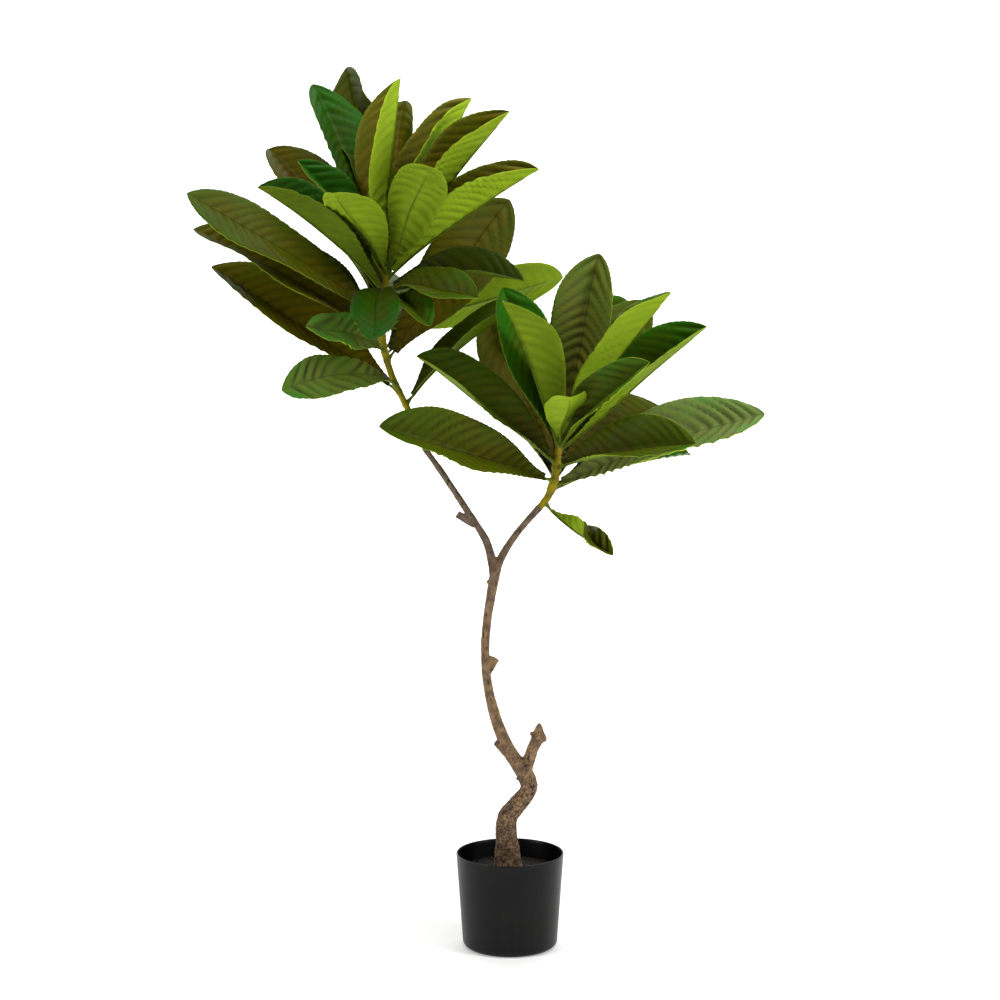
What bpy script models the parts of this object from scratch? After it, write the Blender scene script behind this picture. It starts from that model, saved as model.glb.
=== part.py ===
"""Artificial potted tree: a gnarled trunk with two boughs, each ending in a crown of broad leaves.

Metres, +Z up. The origin is the middle of the pot's flat underside, and -Y is the front.
The leaves are fabric blades on plastic stalks, and the pot is weighted with cement.
"""

import math
import random

import bmesh
import bpy
import numpy as np
from mathutils.bvhtree import BVHTree

CM = 0.01
MM = 0.001
GAP = 0.3 * MM  # between pieces that touch on the real tree
FRONT = np.array((0.0, -1.0, 0.0))

# The pot, a thin plain shell of black plastic
RIM_RADIUS = 72.5 * MM
FOOT_RADIUS = 63.5 * MM
POT_HEIGHT = 129 * MM
POT_WALL = 2.0 * MM
POT_EDGE = 9 * MM  # radius of the rounded edge round its foot
POT_SIDES = 48
EDGE_STEPS = 4

# Cement with a skin of dark grit
FILL_TOP = 105 * MM

# Ways of the limbs: across, back, up (cm) and radius (mm)
TRUNK_WAY = (
    (-0.2, 0.0, 9.3, 22.5),
    (-0.2, 0.0, 10.5, 20.0),
    (-0.25, 0.0, 12.0, 17.8),
    (-0.5, 0.1, 15.0, 15.4),
    (-0.4, 0.3, 17.6, 13.6),
    (1.0, 0.6, 19.4, 12.4),
    (2.5, 0.7, 21.4, 11.4),
    (2.1, 0.4, 23.4, 12.2),
    (0.6, 0.2, 25.7, 10.2),
    (-0.9, 0.3, 28.4, 8.8),
    (-2.4, 0.6, 32.9, 7.1),
    (-3.2, 0.7, 37.4, 6.1),
    (-3.3, 0.5, 42.0, 5.8),
    (-2.8, 0.3, 46.6, 6.1),
    (-2.1, 0.2, 50.6, 7.2),
)
LEFT_WAY = (
    (-2.1, 0.2, 50.6, 7.0),
    (-2.4, 0.1, 52.6, 6.2),
    (-3.0, 0.0, 55.0, 5.5),
    (-4.2, -0.1, 57.2, 5.0),
    (-6.0, -0.2, 60.0, 4.6),
    (-9.2, -0.2, 64.9, 4.3),
    (-11.6, 0.0, 68.4, 4.3),
    (-13.6, 0.2, 73.2, 4.6),
    (-15.6, 0.3, 77.4, 4.8),
    (-16.8, 0.3, 82.2, 5.0),
    (-16.7, 0.2, 87.2, 4.8),
    (-16.0, 0.0, 91.6, 3.4),
)
RIGHT_WAY = (
    (-2.2, 0.2, 50.2, 6.6),
    (-1.4, 0.2, 52.7, 5.8),
    (-0.2, 0.2, 54.9, 5.0),
    (1.3, 0.1, 57.0, 4.5),
    (3.2, 0.0, 59.2, 4.5),
    (4.9, -0.1, 61.2, 5.4),
    (5.9, -0.1, 63.8, 6.0),
    (6.2, 0.0, 66.0, 5.4),
    (6.6, 0.0, 69.2, 3.6),
)
CUT_BRANCH_WAY = (
    (1.6, 0.4, 22.6, 9.0),
    (2.2, 0.3, 24.6, 9.2),
    (2.8, 0.1, 26.6, 8.0),
    (3.4, 0.0, 28.0, 8.4),
    (3.8, 0.0, 28.9, 9.4),
    (3.9, 0.1, 29.9, 6.2),
    (3.95, 0.1, 30.7, 2.2),
)

# Stubs of cut twigs and knots: root and end, each as across, back, up (cm) and radius (mm)
TRUNK_STUBS = (
    ((-3.2, 0.6, 37.4, 6.4), (-2.05, 0.25, 39.5, 6.6)),
    ((0.2, 0.3, 26.2, 8.0), (-2.0, 0.1, 28.1, 5.0)),
    ((-2.3, 0.2, 49.6, 4.4), (-3.1, 0.1, 50.0, 2.6)),
)
CUT_BRANCH_STUBS = (
    ((3.7, 0.0, 28.5, 6.0), (4.85, -0.2, 28.7, 4.2)),
    ((3.6, 0.0, 28.9, 4.6), (2.7, 0.3, 29.3, 3.0)),
)
LEFT_BOUGH_STUBS = (((-4.7, -0.1, 57.6, 5.2), (-7.0, -0.4, 59.1, 5.0)),)

# Where each limb is cut level, by height (cm). A fork's two prongs belong to the trunk.
LEFT_PRONG_TOP = 53.8
RIGHT_PRONG_TOP = 54.2
LEFT_BOUGH_TOP = 68.4
RIGHT_BOUGH_TOP = 60.0

# The masses up each shoot: name and top of its stretch of stem (cm)
LEFT_MASSES = (
    ("left_lower_leaves", 78.0),
    ("left_middle_leaves", 84.2),
    ("left_upper_leaves", 89.4),
    ("left_top_leaves", 91.6),
)
RIGHT_MASSES = (
    ("right_lower_leaves", 64.4),
    ("right_middle_leaves", 66.7),
    ("right_top_leaves", 69.2),
)

# Leaves that show from the front, one a row: height of the root on its shoot, the tip's place
# across, back and up (cm), how far its upper side leans to the front and the fold of each half
# (degrees), and how far the midrib bows to its upper side (cm). At 0 the blade is seen edge on,
# at 90 its upper side shows and at -90 its underside.
LEFT_LEAVES = (
    (73.6, 2.4, 6.0, 87.2, 14, 28, 1.1),
    (75.4, -39.6, 4.0, 91.6, 40, 30, 0.2),
    (76.2, -29.4, -9.0, 76.4, 48, 8, 3.0),
    (79.4, -0.1, 8.0, 100.3, 80, 16, 0.8),
    (80.6, -26.2, -9.0, 84.6, 45, 20, 1.2),
    (82.2, -41.7, 2.0, 96.6, 32, 30, 0.8),
    (84.8, -42.0, -2.0, 101.4, 30, 10, 0.8),
    (89.2, -17.3, -16.0, 83.5, 80, 10, 2.0),
    (87.2, -10.2, -12.0, 84.9, 30, 35, 1.4),
    (88.0, -4.1, -11.0, 88.4, 35, 35, 1.6),
    (88.6, 1.7, -7.0, 90.2, 40, 46, 2.0),
    (83.4, 7.3, 16.0, 89.5, -44, 8, 0.2),
    (88.2, -32.2, -9.0, 102.3, 19, 66, 1.2),
    (88.8, -32.7, 13.0, 107.0, 44, 34, 1.0),
    (89.7, -27.8, 1.0, 105.5, 40, 45, 0.8),
    (90.2, -26.5, 11.0, 115.6, 47, 33, 1.0),
    (90.6, -22.5, 22.0, 118.0, 94, 30, 0.8),
    (91.2, -14.3, 2.0, 116.2, 155, 58, 0.6),
    (91.0, -14.0, 10.0, 113.4, 118, 40, 0.8),
    (91.0, -5.0, 2.0, 113.6, 12, 66, 0.6),
    (90.6, -0.1, -3.0, 111.9, 12, 66, 0.6),
    (90.0, 3.7, -5.0, 104.5, 25, 60, 0.8),
    (91.4, -10.2, -15.0, 105.0, -90, 32, 0.6),
    (91.4, -22.2, -13.0, 101.7, -60, 28, 0.6),
)
RIGHT_LEAVES = (
    (60.6, 13.4, -7.0, 54.6, 26, 44, -0.6),
    (62.6, 34.0, 4.0, 72.0, 44, 31, 1.0),
    (63.5, -16.8, -12.0, 72.1, 48, 40, -0.1),
    (64.9, -3.2, 9.0, 84.4, 75, 32, 0.6),
    (65.2, 23.4, -15.0, 70.2, 39, 46, 1.0),
    (65.7, -12.2, -5.0, 80.5, 38, 46, 0.3),
    (67.3, -1.0, 6.0, 89.0, 70, 35, 0.8),
    (67.6, -1.0, -6.0, 87.9, -45, 45, 0.6),
    (68.0, 11.8, 4.0, 93.3, 80, 36, 0.6),
    (68.2, 15.2, 13.0, 87.0, 85, 35, 0.6),
    (67.8, 18.2, 10.0, 86.8, 75, 30, 0.6),
    (67.9, 20.8, -5.0, 88.7, -5, 45, 0.6),
    (67.0, 25.8, 3.0, 84.0, 32, 52, -0.1),
    (68.0, 17.7, -12.0, 80.3, 43, 52, 0.6),
    (68.6, 7.6, -14.0, 76.0, -72, 30, 0.4),
    (66.9, 14.6, 15.0, 71.2, -20, 28, 0.8),
)

# Leaves at the back, dealt out evenly: count, headings passed over from one leaf to the next, first
# and last heading (degrees, 90 is straight back), lowest and highest root (cm), rise of the lowest
# and the highest leaf (degrees)
LEFT_BACK = (8, 5, 70, 150, 80.2, 88.6, 8, 45)
RIGHT_BACK = (8, 3, 36, 120, 62.2, 67.6, 8, 32)
BACK_REACH = 24.5
BACK_JITTER = 1.5
BACK_LEAN = 30
BACK_FOLD = 38
BACK_BOW = 1.0
SEED = 7

# A leaf that comes too near another is shifted at its tip, front to back, and rolled
CLEARANCE = 1.0 * MM
ROOT_INSET = 0.7  # cm that a root keeps inside its mass's stretch of stem
CROWDED_RINGS = 4  # of a leaf, that may run into its neighbours of the same mass
TIP_SHIFTS = (0, -1, 1, -2, 2, -3, 3, -4, 4, -5, 5)  # cm
ROLL_SHIFTS = (0, 6, -6, 12, -12, 18, -18)  # degrees
ROLL_PER_SHIFT = 6  # degrees of roll that count as much as 1 cm

# The leaf: a stalk, then a blade that is widest past its middle
STALK = 28 * MM
STALK_RADIUS = 2.2 * MM
BLADE_THICKNESS = 3.0 * MM  # over a hundredth of the longest leaf
WIDTH_SHARE = 0.38  # of the leaf's length
MOST_WIDTH = 98 * MM
BLUNT_BASE = 0.15  # of the width, where the blade starts on its stalk
BLUNT_TIP = 0.22  # by which the power that rounds the tip falls
WIDEST = 1.4  # power that moves the widest place from the middle towards the tip
ROUNDNESS = 2.3
TIP_HALF_WIDTH = 3 * MM
TIP_FLATTENED = 0.5  # share of its fold that a blade loses at its tip
BASE_FADE = 4  # power by which the blunt base dies away
MIDRIB_NEAR = (0.30, 1.6)  # first handle of the midrib's curve: share of its chord, of its bow
MIDRIB_FAR = (0.68, 1.0)  # second handle
STALK_RINGS = 2
BLADE_STATIONS = (0.0, 0.1, 0.25, 0.42, 0.58, 0.73, 0.86, 0.95, 1.0)

LIMB_SPARE = 5 * MM  # that a limb is made too long at each end before it is cut
WAY_STEPS = 3  # points between two of a way's own points
LIMB_SIDES = 4  # bevel resolution, for 12 sides
STEM_SIDES = 2  # for 8 sides
RING = 8  # corners of a ring that stands for a limb while leaves are settled


def clear_scene():
    for obj in list(bpy.data.objects):
        bpy.data.objects.remove(obj, do_unlink=True)


def add_collection(name):
    collection = bpy.data.collections.new(name)
    bpy.context.scene.collection.children.link(collection)
    return collection


def add_material(name, colour, roughness):
    material = bpy.data.materials.new(name)
    material.use_nodes = True
    shader = material.node_tree.nodes["Principled BSDF"]
    shader.inputs["Base Color"].default_value = (*colour, 1.0)
    shader.inputs["Roughness"].default_value = roughness
    return material


def smooth_way(points):
    """A curve through all the points, as rows of x, y, z and radius in metres."""
    rows = np.array(points) * (CM, CM, CM, MM)
    before = 2 * rows[0] - rows[1]
    after = 2 * rows[-1] - rows[-2]
    rows = np.vstack([before, rows, after])
    t = np.linspace(0, 1, WAY_STEPS, endpoint=False)[:, None]
    pieces = []
    for a, b, c, d in zip(rows, rows[1:], rows[2:], rows[3:]):
        bend = 2 * a - 5 * b + 4 * c - d
        twist = 3 * (b - c) + d - a
        pieces.append(b + 0.5 * (t * (c - a) + t**2 * bend + t**3 * twist))
    return np.vstack([*pieces, rows[-2:-1]])


def at_height(way, height):
    """The way's row where it passes this height."""
    return np.array([np.interp(height, way[:, 2], way[:, i]) for i in range(4)])


def stretch(way, low, high):
    """The part of a rising way between two heights."""
    inside = way[(way[:, 2] > low + GAP) & (way[:, 2] < high - GAP)]
    return np.vstack([at_height(way, low), inside, at_height(way, high)])


def add_tube(name, rows, collection, sides):
    """A round bar along the rows, as a curve with filled caps, made a mesh."""
    curve = bpy.data.curves.new(name, "CURVE")
    curve.dimensions = "3D"
    curve.bevel_depth = 1.0
    curve.bevel_resolution = sides
    curve.use_fill_caps = True
    spline = curve.splines.new("POLY")
    spline.points.add(len(rows) - 1)
    for point, (x, y, z, radius) in zip(spline.points, rows):
        point.co = (x, y, z, 1)
        point.radius = radius
    bar = bpy.data.objects.new(name, curve)
    collection.objects.link(bar)
    bpy.context.view_layer.update()
    evaluated = bar.evaluated_get(bpy.context.evaluated_depsgraph_get())
    mesh = bpy.data.meshes.new_from_object(evaluated)
    bpy.data.objects.remove(bar, do_unlink=True)
    solid = bmesh.new()
    solid.from_mesh(mesh)
    bmesh.ops.remove_doubles(solid, verts=solid.verts, dist=0.02 * MM)
    bmesh.ops.recalc_face_normals(solid, faces=solid.faces)
    solid.to_mesh(mesh)
    solid.free()
    mesh.shade_smooth()
    mesh.name = name
    tube = bpy.data.objects.new(name, mesh)
    collection.objects.link(tube)
    return tube


def cut_level(limb, low, high):
    """Cuts a limb level at two heights and closes the cuts."""
    solid = bmesh.new()
    solid.from_mesh(limb.data)
    for height, off in ((low, (0, 0, -1)), (high, (0, 0, 1))):
        everything = [*solid.verts, *solid.edges, *solid.faces]
        cut = bmesh.ops.bisect_plane(
            solid, geom=everything, plane_co=(0, 0, height), plane_no=off, clear_outer=True
        )
        rim = [part for part in cut["geom_cut"] if isinstance(part, bmesh.types.BMEdge)]
        bmesh.ops.contextual_create(solid, geom=rim)
    bmesh.ops.recalc_face_normals(solid, faces=solid.faces)
    solid.to_mesh(limb.data)
    solid.free()


def islands(solid):
    """The sets of faces that hang together."""
    left = set(solid.faces)
    found = []
    while left:
        island = set()
        waiting = [left.pop()]
        while waiting:
            face = waiting.pop()
            island.add(face)
            for edge in face.edges:
                for other in edge.link_faces:
                    if other in left:
                        left.discard(other)
                        waiting.append(other)
        found.append(island)
    return found


def drop_scraps(mesh):
    """Keeps the largest closed body of a mesh, without loose scraps or sealed hollows."""
    solid = bmesh.new()
    solid.from_mesh(mesh)
    scraps = sorted(islands(solid), key=len)[:-1]
    for scrap in scraps:
        bmesh.ops.delete(solid, geom=list(scrap), context="FACES")
    solid.to_mesh(mesh)
    solid.free()


def join_to(body, others):
    """Makes the body and the collection's objects one solid, and removes those objects."""
    bpy.context.view_layer.update()
    union = body.modifiers.new("Union", "BOOLEAN")
    union.operation = "UNION"
    union.operand_type = "COLLECTION"
    union.collection = others
    union.solver = "EXACT"
    evaluated = body.evaluated_get(bpy.context.evaluated_depsgraph_get())
    mesh = bpy.data.meshes.new_from_object(evaluated)
    body.modifiers.remove(union)
    drop_scraps(mesh)
    body.data = mesh
    for obj in list(others.objects):
        bpy.data.objects.remove(obj, do_unlink=True)
    bpy.data.collections.remove(others)


def add_turned(name, profile, collection, material):
    """A profile of radius and height, turned about the pot's axis."""
    mesh = bpy.data.meshes.new(name)
    edges = [(i, i + 1) for i in range(len(profile) - 1)]
    mesh.from_pydata([(radius, 0, height) for radius, height in profile], edges, [])
    mesh.materials.append(material)
    turned = bpy.data.objects.new(name, mesh)
    collection.objects.link(turned)
    screw = turned.modifiers.new("Turn", "SCREW")
    screw.steps = POT_SIDES
    screw.render_steps = POT_SIDES
    screw.use_merge_vertices = True
    screw.merge_threshold = 0.02 * MM
    screw.use_smooth_shade = True
    return turned


def pot_radius(height):
    """Outer radius of the pot's straight, leaning wall."""
    return FOOT_RADIUS + (RIM_RADIUS - FOOT_RADIUS) * height / POT_HEIGHT


def foot_edge(inset):
    """The rounded edge round the foot, from the wall down to the flat, moved in by the inset."""
    radius = POT_EDGE - inset
    middle = pot_radius(POT_EDGE) - POT_EDGE
    angles = np.linspace(0, math.pi / 2, EDGE_STEPS + 1)
    return [
        (middle + radius * math.cos(a), POT_EDGE - radius * math.sin(a)) for a in angles
    ]


def add_pot(collection):
    plastic = add_material("black_plastic", (0.012, 0.012, 0.013), 0.38)
    outer = [(RIM_RADIUS, POT_HEIGHT), *foot_edge(0), (0, 0)]
    inner = [(RIM_RADIUS - POT_WALL, POT_HEIGHT), *foot_edge(POT_WALL), (0, POT_WALL)]
    add_turned("pot", outer + inner[::-1] + outer[:1], collection, plastic)


def add_fill(collection):
    grit = add_material("dark_grit", (0.02, 0.018, 0.015), 0.95)
    inset = POT_WALL + GAP
    top_radius = pot_radius(FILL_TOP) - inset
    profile = [(0, FILL_TOP), (top_radius, FILL_TOP), *foot_edge(inset), (0, inset)]
    add_turned("potting_fill", profile, collection, grit)


def add_stubs(body, stubs, name):
    """Short stubs of cut twigs, joined to a limb."""
    others = add_collection(name)
    for root, end in stubs:
        rows = np.array([root, end]) * (CM, CM, CM, MM)
        add_tube(name, rows, others, STEM_SIDES)
    join_to(body, others)


def add_trunk(collection, bark):
    """The trunk from the soil to its fork, with the fork's two prongs and its knots."""
    way = smooth_way(TRUNK_WAY)
    trunk = add_tube("trunk", way, collection, LIMB_SIDES)
    cut_level(trunk, FILL_TOP + GAP, way[-1, 2] + CM)
    prongs = add_collection("prongs")
    for prong, top in ((LEFT_WAY, LEFT_PRONG_TOP), (RIGHT_WAY, RIGHT_PRONG_TOP)):
        limb = smooth_way(prong)
        rows = stretch(limb, limb[0, 2], top * CM + LIMB_SPARE)
        cut_level(add_tube("prong", rows, prongs, LIMB_SIDES), 0, top * CM)
    join_to(trunk, prongs)
    branch = add_collection("cut_branch")
    add_tube("cut_branch", smooth_way(CUT_BRANCH_WAY), branch, LIMB_SIDES)
    join_to(trunk, branch)
    add_stubs(trunk, TRUNK_STUBS + CUT_BRANCH_STUBS, "trunk_stubs")
    trunk.data.materials.append(bark)


def add_limb(name, way, low, high, collection):
    """The stretch of a way between two heights (cm), cut level, 0.3 mm clear at its lower end."""
    low = low * CM + GAP
    high = high * CM
    rows = stretch(way, low - LIMB_SPARE, high + LIMB_SPARE)
    limb = add_tube(name, rows, collection, STEM_SIDES)
    cut_level(limb, low, high)
    return limb


def add_bough(limb, stubs, collection, bark):
    """One tapering limb, from just above its prong to the lowest leaves."""
    bough = add_limb(*limb, collection)
    if stubs:
        add_stubs(bough, stubs, "bough_stubs")
    bough.data.materials.append(bark)


def unit(vector):
    return vector / np.linalg.norm(vector)


def half_width(s, width):
    """Half the blade's width at share s of its length: narrow base, widest past the middle."""
    u = s**WIDEST
    body = 1 - np.abs(2 * u - 1) ** ROUNDNESS
    rounded = body ** (1 - BLUNT_TIP * s**3)
    blunt = BLUNT_BASE * (1 - s) ** BASE_FADE
    return np.maximum(0.5 * width * (rounded + blunt), TIP_HALF_WIDTH)


def leaf_midrib(foot, tip, upper, bow):
    """A cubic curve from foot to tip that bows to the leaf's upper side: places and directions."""
    chord = tip - foot
    near = foot + MIDRIB_NEAR[0] * chord + MIDRIB_NEAR[1] * bow * upper
    far = foot + MIDRIB_FAR[0] * chord + MIDRIB_FAR[1] * bow * upper
    start = STALK / np.linalg.norm(chord)
    shares = np.array(BLADE_STATIONS)
    stalk = np.linspace(0, 0.9 * start, STALK_RINGS)
    t = np.concatenate([stalk, start + (1 - start) * shares])[:, None]
    places = (
        (1 - t) ** 3 * foot
        + 3 * (1 - t) ** 2 * t * near
        + 3 * (1 - t) * t**2 * far
        + t**3 * tip
    )
    heads = (
        (1 - t) ** 2 * (near - foot)
        + 2 * (1 - t) * t * (far - near)
        + t**2 * (tip - far)
    )
    return places, heads


def upper_side(ahead, stem_way, lean):
    """The way the upper side faces, leaning from the side of the shoot's tip to the front."""
    grown = stem_way - ahead * (stem_way @ ahead)
    front = unit(FRONT - ahead * (FRONT @ ahead))
    edge = np.cross(ahead, front)
    edge = edge * np.sign(edge @ grown)
    lean = math.radians(lean)
    return edge * math.cos(lean) + front * math.sin(lean)


def leaf_shell(foot, tip, stem_way, lean, fold, bow, margin):
    """A stalk and a blade folded along its midrib: corners and faces of six-sided sections."""
    length = np.linalg.norm(tip - foot)
    upper = upper_side((tip - foot) / length, stem_way, lean)
    places, heads = leaf_midrib(foot, tip, upper, bow)
    width = min(WIDTH_SHARE * length, MOST_WIDTH)
    corners = []
    for i, (place, head) in enumerate(zip(places, heads)):
        head = unit(head)
        up = unit(upper - head * (upper @ head))
        side = np.cross(head, up)
        if i < STALK_RINGS:
            for angle in np.radians((150, 90, 30, -30, -90, -150)):
                way = side * math.cos(angle) + up * math.sin(angle)
                corners.append(place + (STALK_RADIUS + margin) * way)
            continue
        share = BLADE_STATIONS[i - STALK_RINGS]
        half = half_width(share, width)
        rise = math.radians(fold * (1 - TIP_FLATTENED * share**4))
        thick = 0.5 * BLADE_THICKNESS + margin
        middle = up * thick / math.cos(rise)
        left = half * (up * math.sin(rise) - side * math.cos(rise))
        right = half * (up * math.sin(rise) + side * math.cos(rise))
        left_up = thick * (up * math.cos(rise) + side * math.sin(rise))
        right_up = thick * (up * math.cos(rise) - side * math.sin(rise))
        corners += [place + left + left_up, place + middle, place + right + right_up]
        corners += [place + right - right_up, place - middle, place + left - left_up]
    last = len(corners) - 1
    faces = [tuple(range(6)), tuple(range(last, last - 6, -1))]
    for ring in range(len(places) - 1):
        for k in range(6):
            a, b = 6 * ring + k, 6 * ring + (k + 1) % 6
            faces.append((a, a + 6, b + 6, b))
    return [tuple(corner) for corner in corners], faces


def add_leaf(name, shell, collection):
    corners, faces = shell
    mesh = bpy.data.meshes.new(name)
    mesh.from_pydata(corners, [], faces)
    solid = bmesh.new()
    solid.from_mesh(mesh)
    bmesh.ops.triangulate(solid, faces=solid.faces)
    bmesh.ops.recalc_face_normals(solid, faces=solid.faces)
    solid.to_mesh(mesh)
    solid.free()
    leaf = bpy.data.objects.new(name, mesh)
    collection.objects.link(leaf)


def set_out(way, row, margin=0.0):
    """A leaf's shell from its row of root, tip, lean, fold and bow, made thicker by a margin."""
    root, across, back, up, lean, fold, bow = row
    foot = at_height(way, root * CM)[:3]
    above = at_height(way, (root + 1) * CM)[:3]
    below = at_height(way, (root - 1) * CM)[:3]
    tip = np.array((across, back, up)) * CM
    return leaf_shell(foot, tip, unit(above - below), lean, fold, bow * CM, margin)


def blade_of(shell):
    """The shell beyond the rings that crowd round the shoot, as a search tree."""
    corners, faces = shell
    kept = [face for face in faces if min(face) >= 6 * CROWDED_RINGS]
    return BVHTree.FromPolygons(corners, kept)


def is_clear(shell, mass, placed):
    """Whether a leaf keeps off the other masses, and its blade off the blades of its own."""
    whole = BVHTree.FromPolygons(*shell)
    blade = blade_of(shell)
    for other, other_whole, other_blade in placed:
        if other != mass and whole.overlap(other_whole):
            return False
        if other == mass and other_blade and blade.overlap(other_blade):
            return False
    return True


def settle(way, row, mass, placed):
    """The row with the least shift of tip and roll that keeps the leaf clear, or none."""
    root, across, back, up, lean, fold, bow = row
    shifts = [(tip, roll) for tip in TIP_SHIFTS for roll in ROLL_SHIFTS]
    shifts.sort(key=lambda shift: abs(shift[0]) + abs(shift[1]) / ROLL_PER_SHIFT)
    for tip, roll in shifts:
        settled = (root, across, back + tip, up, lean + roll, fold, bow)
        if is_clear(set_out(way, settled, CLEARANCE), mass, placed):
            return settled
    return None


def back_leaves(way, count, stride, first, last, low, high, flat, steep):
    """Rows for the leaves of the hidden side, spread evenly in heading and jittered."""
    seeded = random.Random(SEED)
    rows = []
    for i in range(count):
        share = i / (count - 1)
        heading = math.radians(first + (last - first) * (i * stride % count) / (count - 1))
        rise = math.radians(flat + (steep - flat) * share)
        root = low + (high - low) * share
        foot = at_height(way, root * CM)[:3]
        reach = (BACK_REACH + BACK_JITTER * seeded.uniform(-1, 1)) * CM
        level = math.cos(rise)
        out = (
            level * math.cos(heading),
            level * math.sin(heading),
            math.sin(rise),
        )
        tip = (foot + reach * np.array(out)) / CM
        rows.append((root, *tip, BACK_LEAN, BACK_FOLD, BACK_BOW))
    return rows


def stretches(name, way, low, bough_top, masses):
    """A bough and the stretch of shoot of each mass above it: name, way, lowest, highest."""
    limbs = [(name, way, low, bough_top)]
    for mass, high in masses:
        limbs.append((mass, way, limbs[-1][3], high))
    return limbs


def limb_tree(way, low, high):
    """A search tree of a limb between two heights (cm): level rings round its way."""
    rows = stretch(way, low * CM + GAP, high * CM)
    turns = np.linspace(0, 2 * math.pi, RING, endpoint=False)
    around = np.stack([np.cos(turns), np.sin(turns), np.zeros(RING)], axis=1)
    corners = [tuple(row[:3] + row[3] * way) for row in rows for way in around]
    faces = [tuple(range(RING)), tuple(range(len(corners) - RING, len(corners)))]
    for first in range(0, len(corners) - RING, RING):
        for k in range(RING):
            a, b = first + k, first + (k + 1) % RING
            faces.append((a, b, b + RING, a + RING))
    return BVHTree.FromPolygons(corners, faces)


def settle_leaves(limbs, rows):
    """Settles the leaves one by one, those that show first: a list of mass, way and row."""
    placed = [(name, limb_tree(way, low, high), None) for name, way, low, high in limbs]
    leaves = []
    for way, listed in rows:
        for row in listed:
            mass, root = home_of(limbs, way, row[0])
            settled = settle(way, (root, *row[1:]), mass, placed)
            if settled is None:
                continue
            shell = set_out(way, settled)
            placed.append((mass, BVHTree.FromPolygons(*shell), blade_of(shell)))
            leaves.append((mass, way, settled))
    return leaves


def home_of(limbs, way, root):
    """The mass whose stretch of this shoot holds the root, and the root kept inside it."""
    for name, own_way, low, high in limbs:
        if own_way is way and low < root <= high:
            return name, min(max(root, low + ROOT_INSET), high - ROOT_INSET)
    raise ValueError(f"no mass at {root}")


def add_mass(limb, leaves, collection, green):
    """One mass: its stretch of shoot with its leaves fused to it."""
    stem = add_limb(*limb, collection)
    blades = add_collection(stem.name + "_blades")
    for mass, way, row in leaves:
        if mass == stem.name:
            add_leaf("blade", set_out(way, row), blades)
    join_to(stem, blades)
    stem.data.materials.append(green)


def build():
    clear_scene()
    tree = add_collection("artificial_tree")
    bark = add_material("painted_bark", (0.16, 0.11, 0.07), 0.85)
    green = add_material("leaf_green", (0.10, 0.18, 0.02), 0.55)
    add_pot(tree)
    add_fill(tree)
    add_trunk(tree, bark)
    left = smooth_way(LEFT_WAY)
    right = smooth_way(RIGHT_WAY)
    left_limbs = stretches("left_bough", left, LEFT_PRONG_TOP, LEFT_BOUGH_TOP, LEFT_MASSES)
    right_limbs = stretches(
        "right_bough", right, RIGHT_PRONG_TOP, RIGHT_BOUGH_TOP, RIGHT_MASSES
    )
    add_bough(left_limbs[0], LEFT_BOUGH_STUBS, tree, bark)
    add_bough(right_limbs[0], (), tree, bark)
    rows = (
        (left, LEFT_LEAVES),
        (right, RIGHT_LEAVES),
        (left, back_leaves(left, *LEFT_BACK)),
        (right, back_leaves(right, *RIGHT_BACK)),
    )
    leaves = settle_leaves(left_limbs + right_limbs, rows)
    for limb in left_limbs[1:] + right_limbs[1:]:
        add_mass(limb, leaves, tree, green)


build()
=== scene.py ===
"""The looks of an artificial potted tree: black pot, dark grit, gnarled trunk, two crowns of coated leaves.

Metres, +Z up. The origin is the middle of the pot's flat underside, and -Y is the side in the photograph.
"""

import math
import random
from collections import namedtuple

import bpy
import numpy as np
from mathutils.bvhtree import BVHTree
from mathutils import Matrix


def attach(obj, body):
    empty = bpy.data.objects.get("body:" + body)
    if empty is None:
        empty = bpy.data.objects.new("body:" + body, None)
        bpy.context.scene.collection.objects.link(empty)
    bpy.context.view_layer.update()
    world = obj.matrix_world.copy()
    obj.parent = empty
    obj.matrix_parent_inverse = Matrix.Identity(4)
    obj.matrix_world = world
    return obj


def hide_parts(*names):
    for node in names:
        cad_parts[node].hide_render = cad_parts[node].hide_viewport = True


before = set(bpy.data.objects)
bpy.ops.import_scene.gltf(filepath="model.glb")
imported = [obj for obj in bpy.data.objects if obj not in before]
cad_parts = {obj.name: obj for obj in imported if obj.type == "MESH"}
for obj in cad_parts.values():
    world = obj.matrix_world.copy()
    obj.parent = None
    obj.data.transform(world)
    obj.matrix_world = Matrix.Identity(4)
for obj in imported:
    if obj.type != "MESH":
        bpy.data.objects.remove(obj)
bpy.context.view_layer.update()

CM = 0.01
MM = 0.001

# THE POT
# A thin tub moulded in black plastic, a little wider at its rim, with a rounded lip and foot.
# Its wall is 2 mm thick and carries the faint upright streaks of its mould.

RIM_RADIUS = 72.5 * MM
FOOT_RADIUS = 63.5 * MM
POT_HEIGHT = 129 * MM
POT_WALL = 2 * MM
POT_EDGE = 9 * MM
LIP = 0.9 * MM
POT_TURNS = 192
POT_BLACK = (0.0032, 0.0031, 0.0032, 1)
POT_DUST = (0.0062, 0.0060, 0.0058, 1)


def pot_radius(height):
    """Outer radius of the straight leaning wall at a height."""
    return FOOT_RADIUS + (RIM_RADIUS - FOOT_RADIUS) * height / POT_HEIGHT


def arc(middle, height, radius, start, end, count):
    """Points of a circle in a profile, between two angles in degrees: radius and height."""
    a = np.radians(np.linspace(start, end, count))
    return np.stack([middle + radius * np.cos(a), height + radius * np.sin(a)], axis=1)


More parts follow.
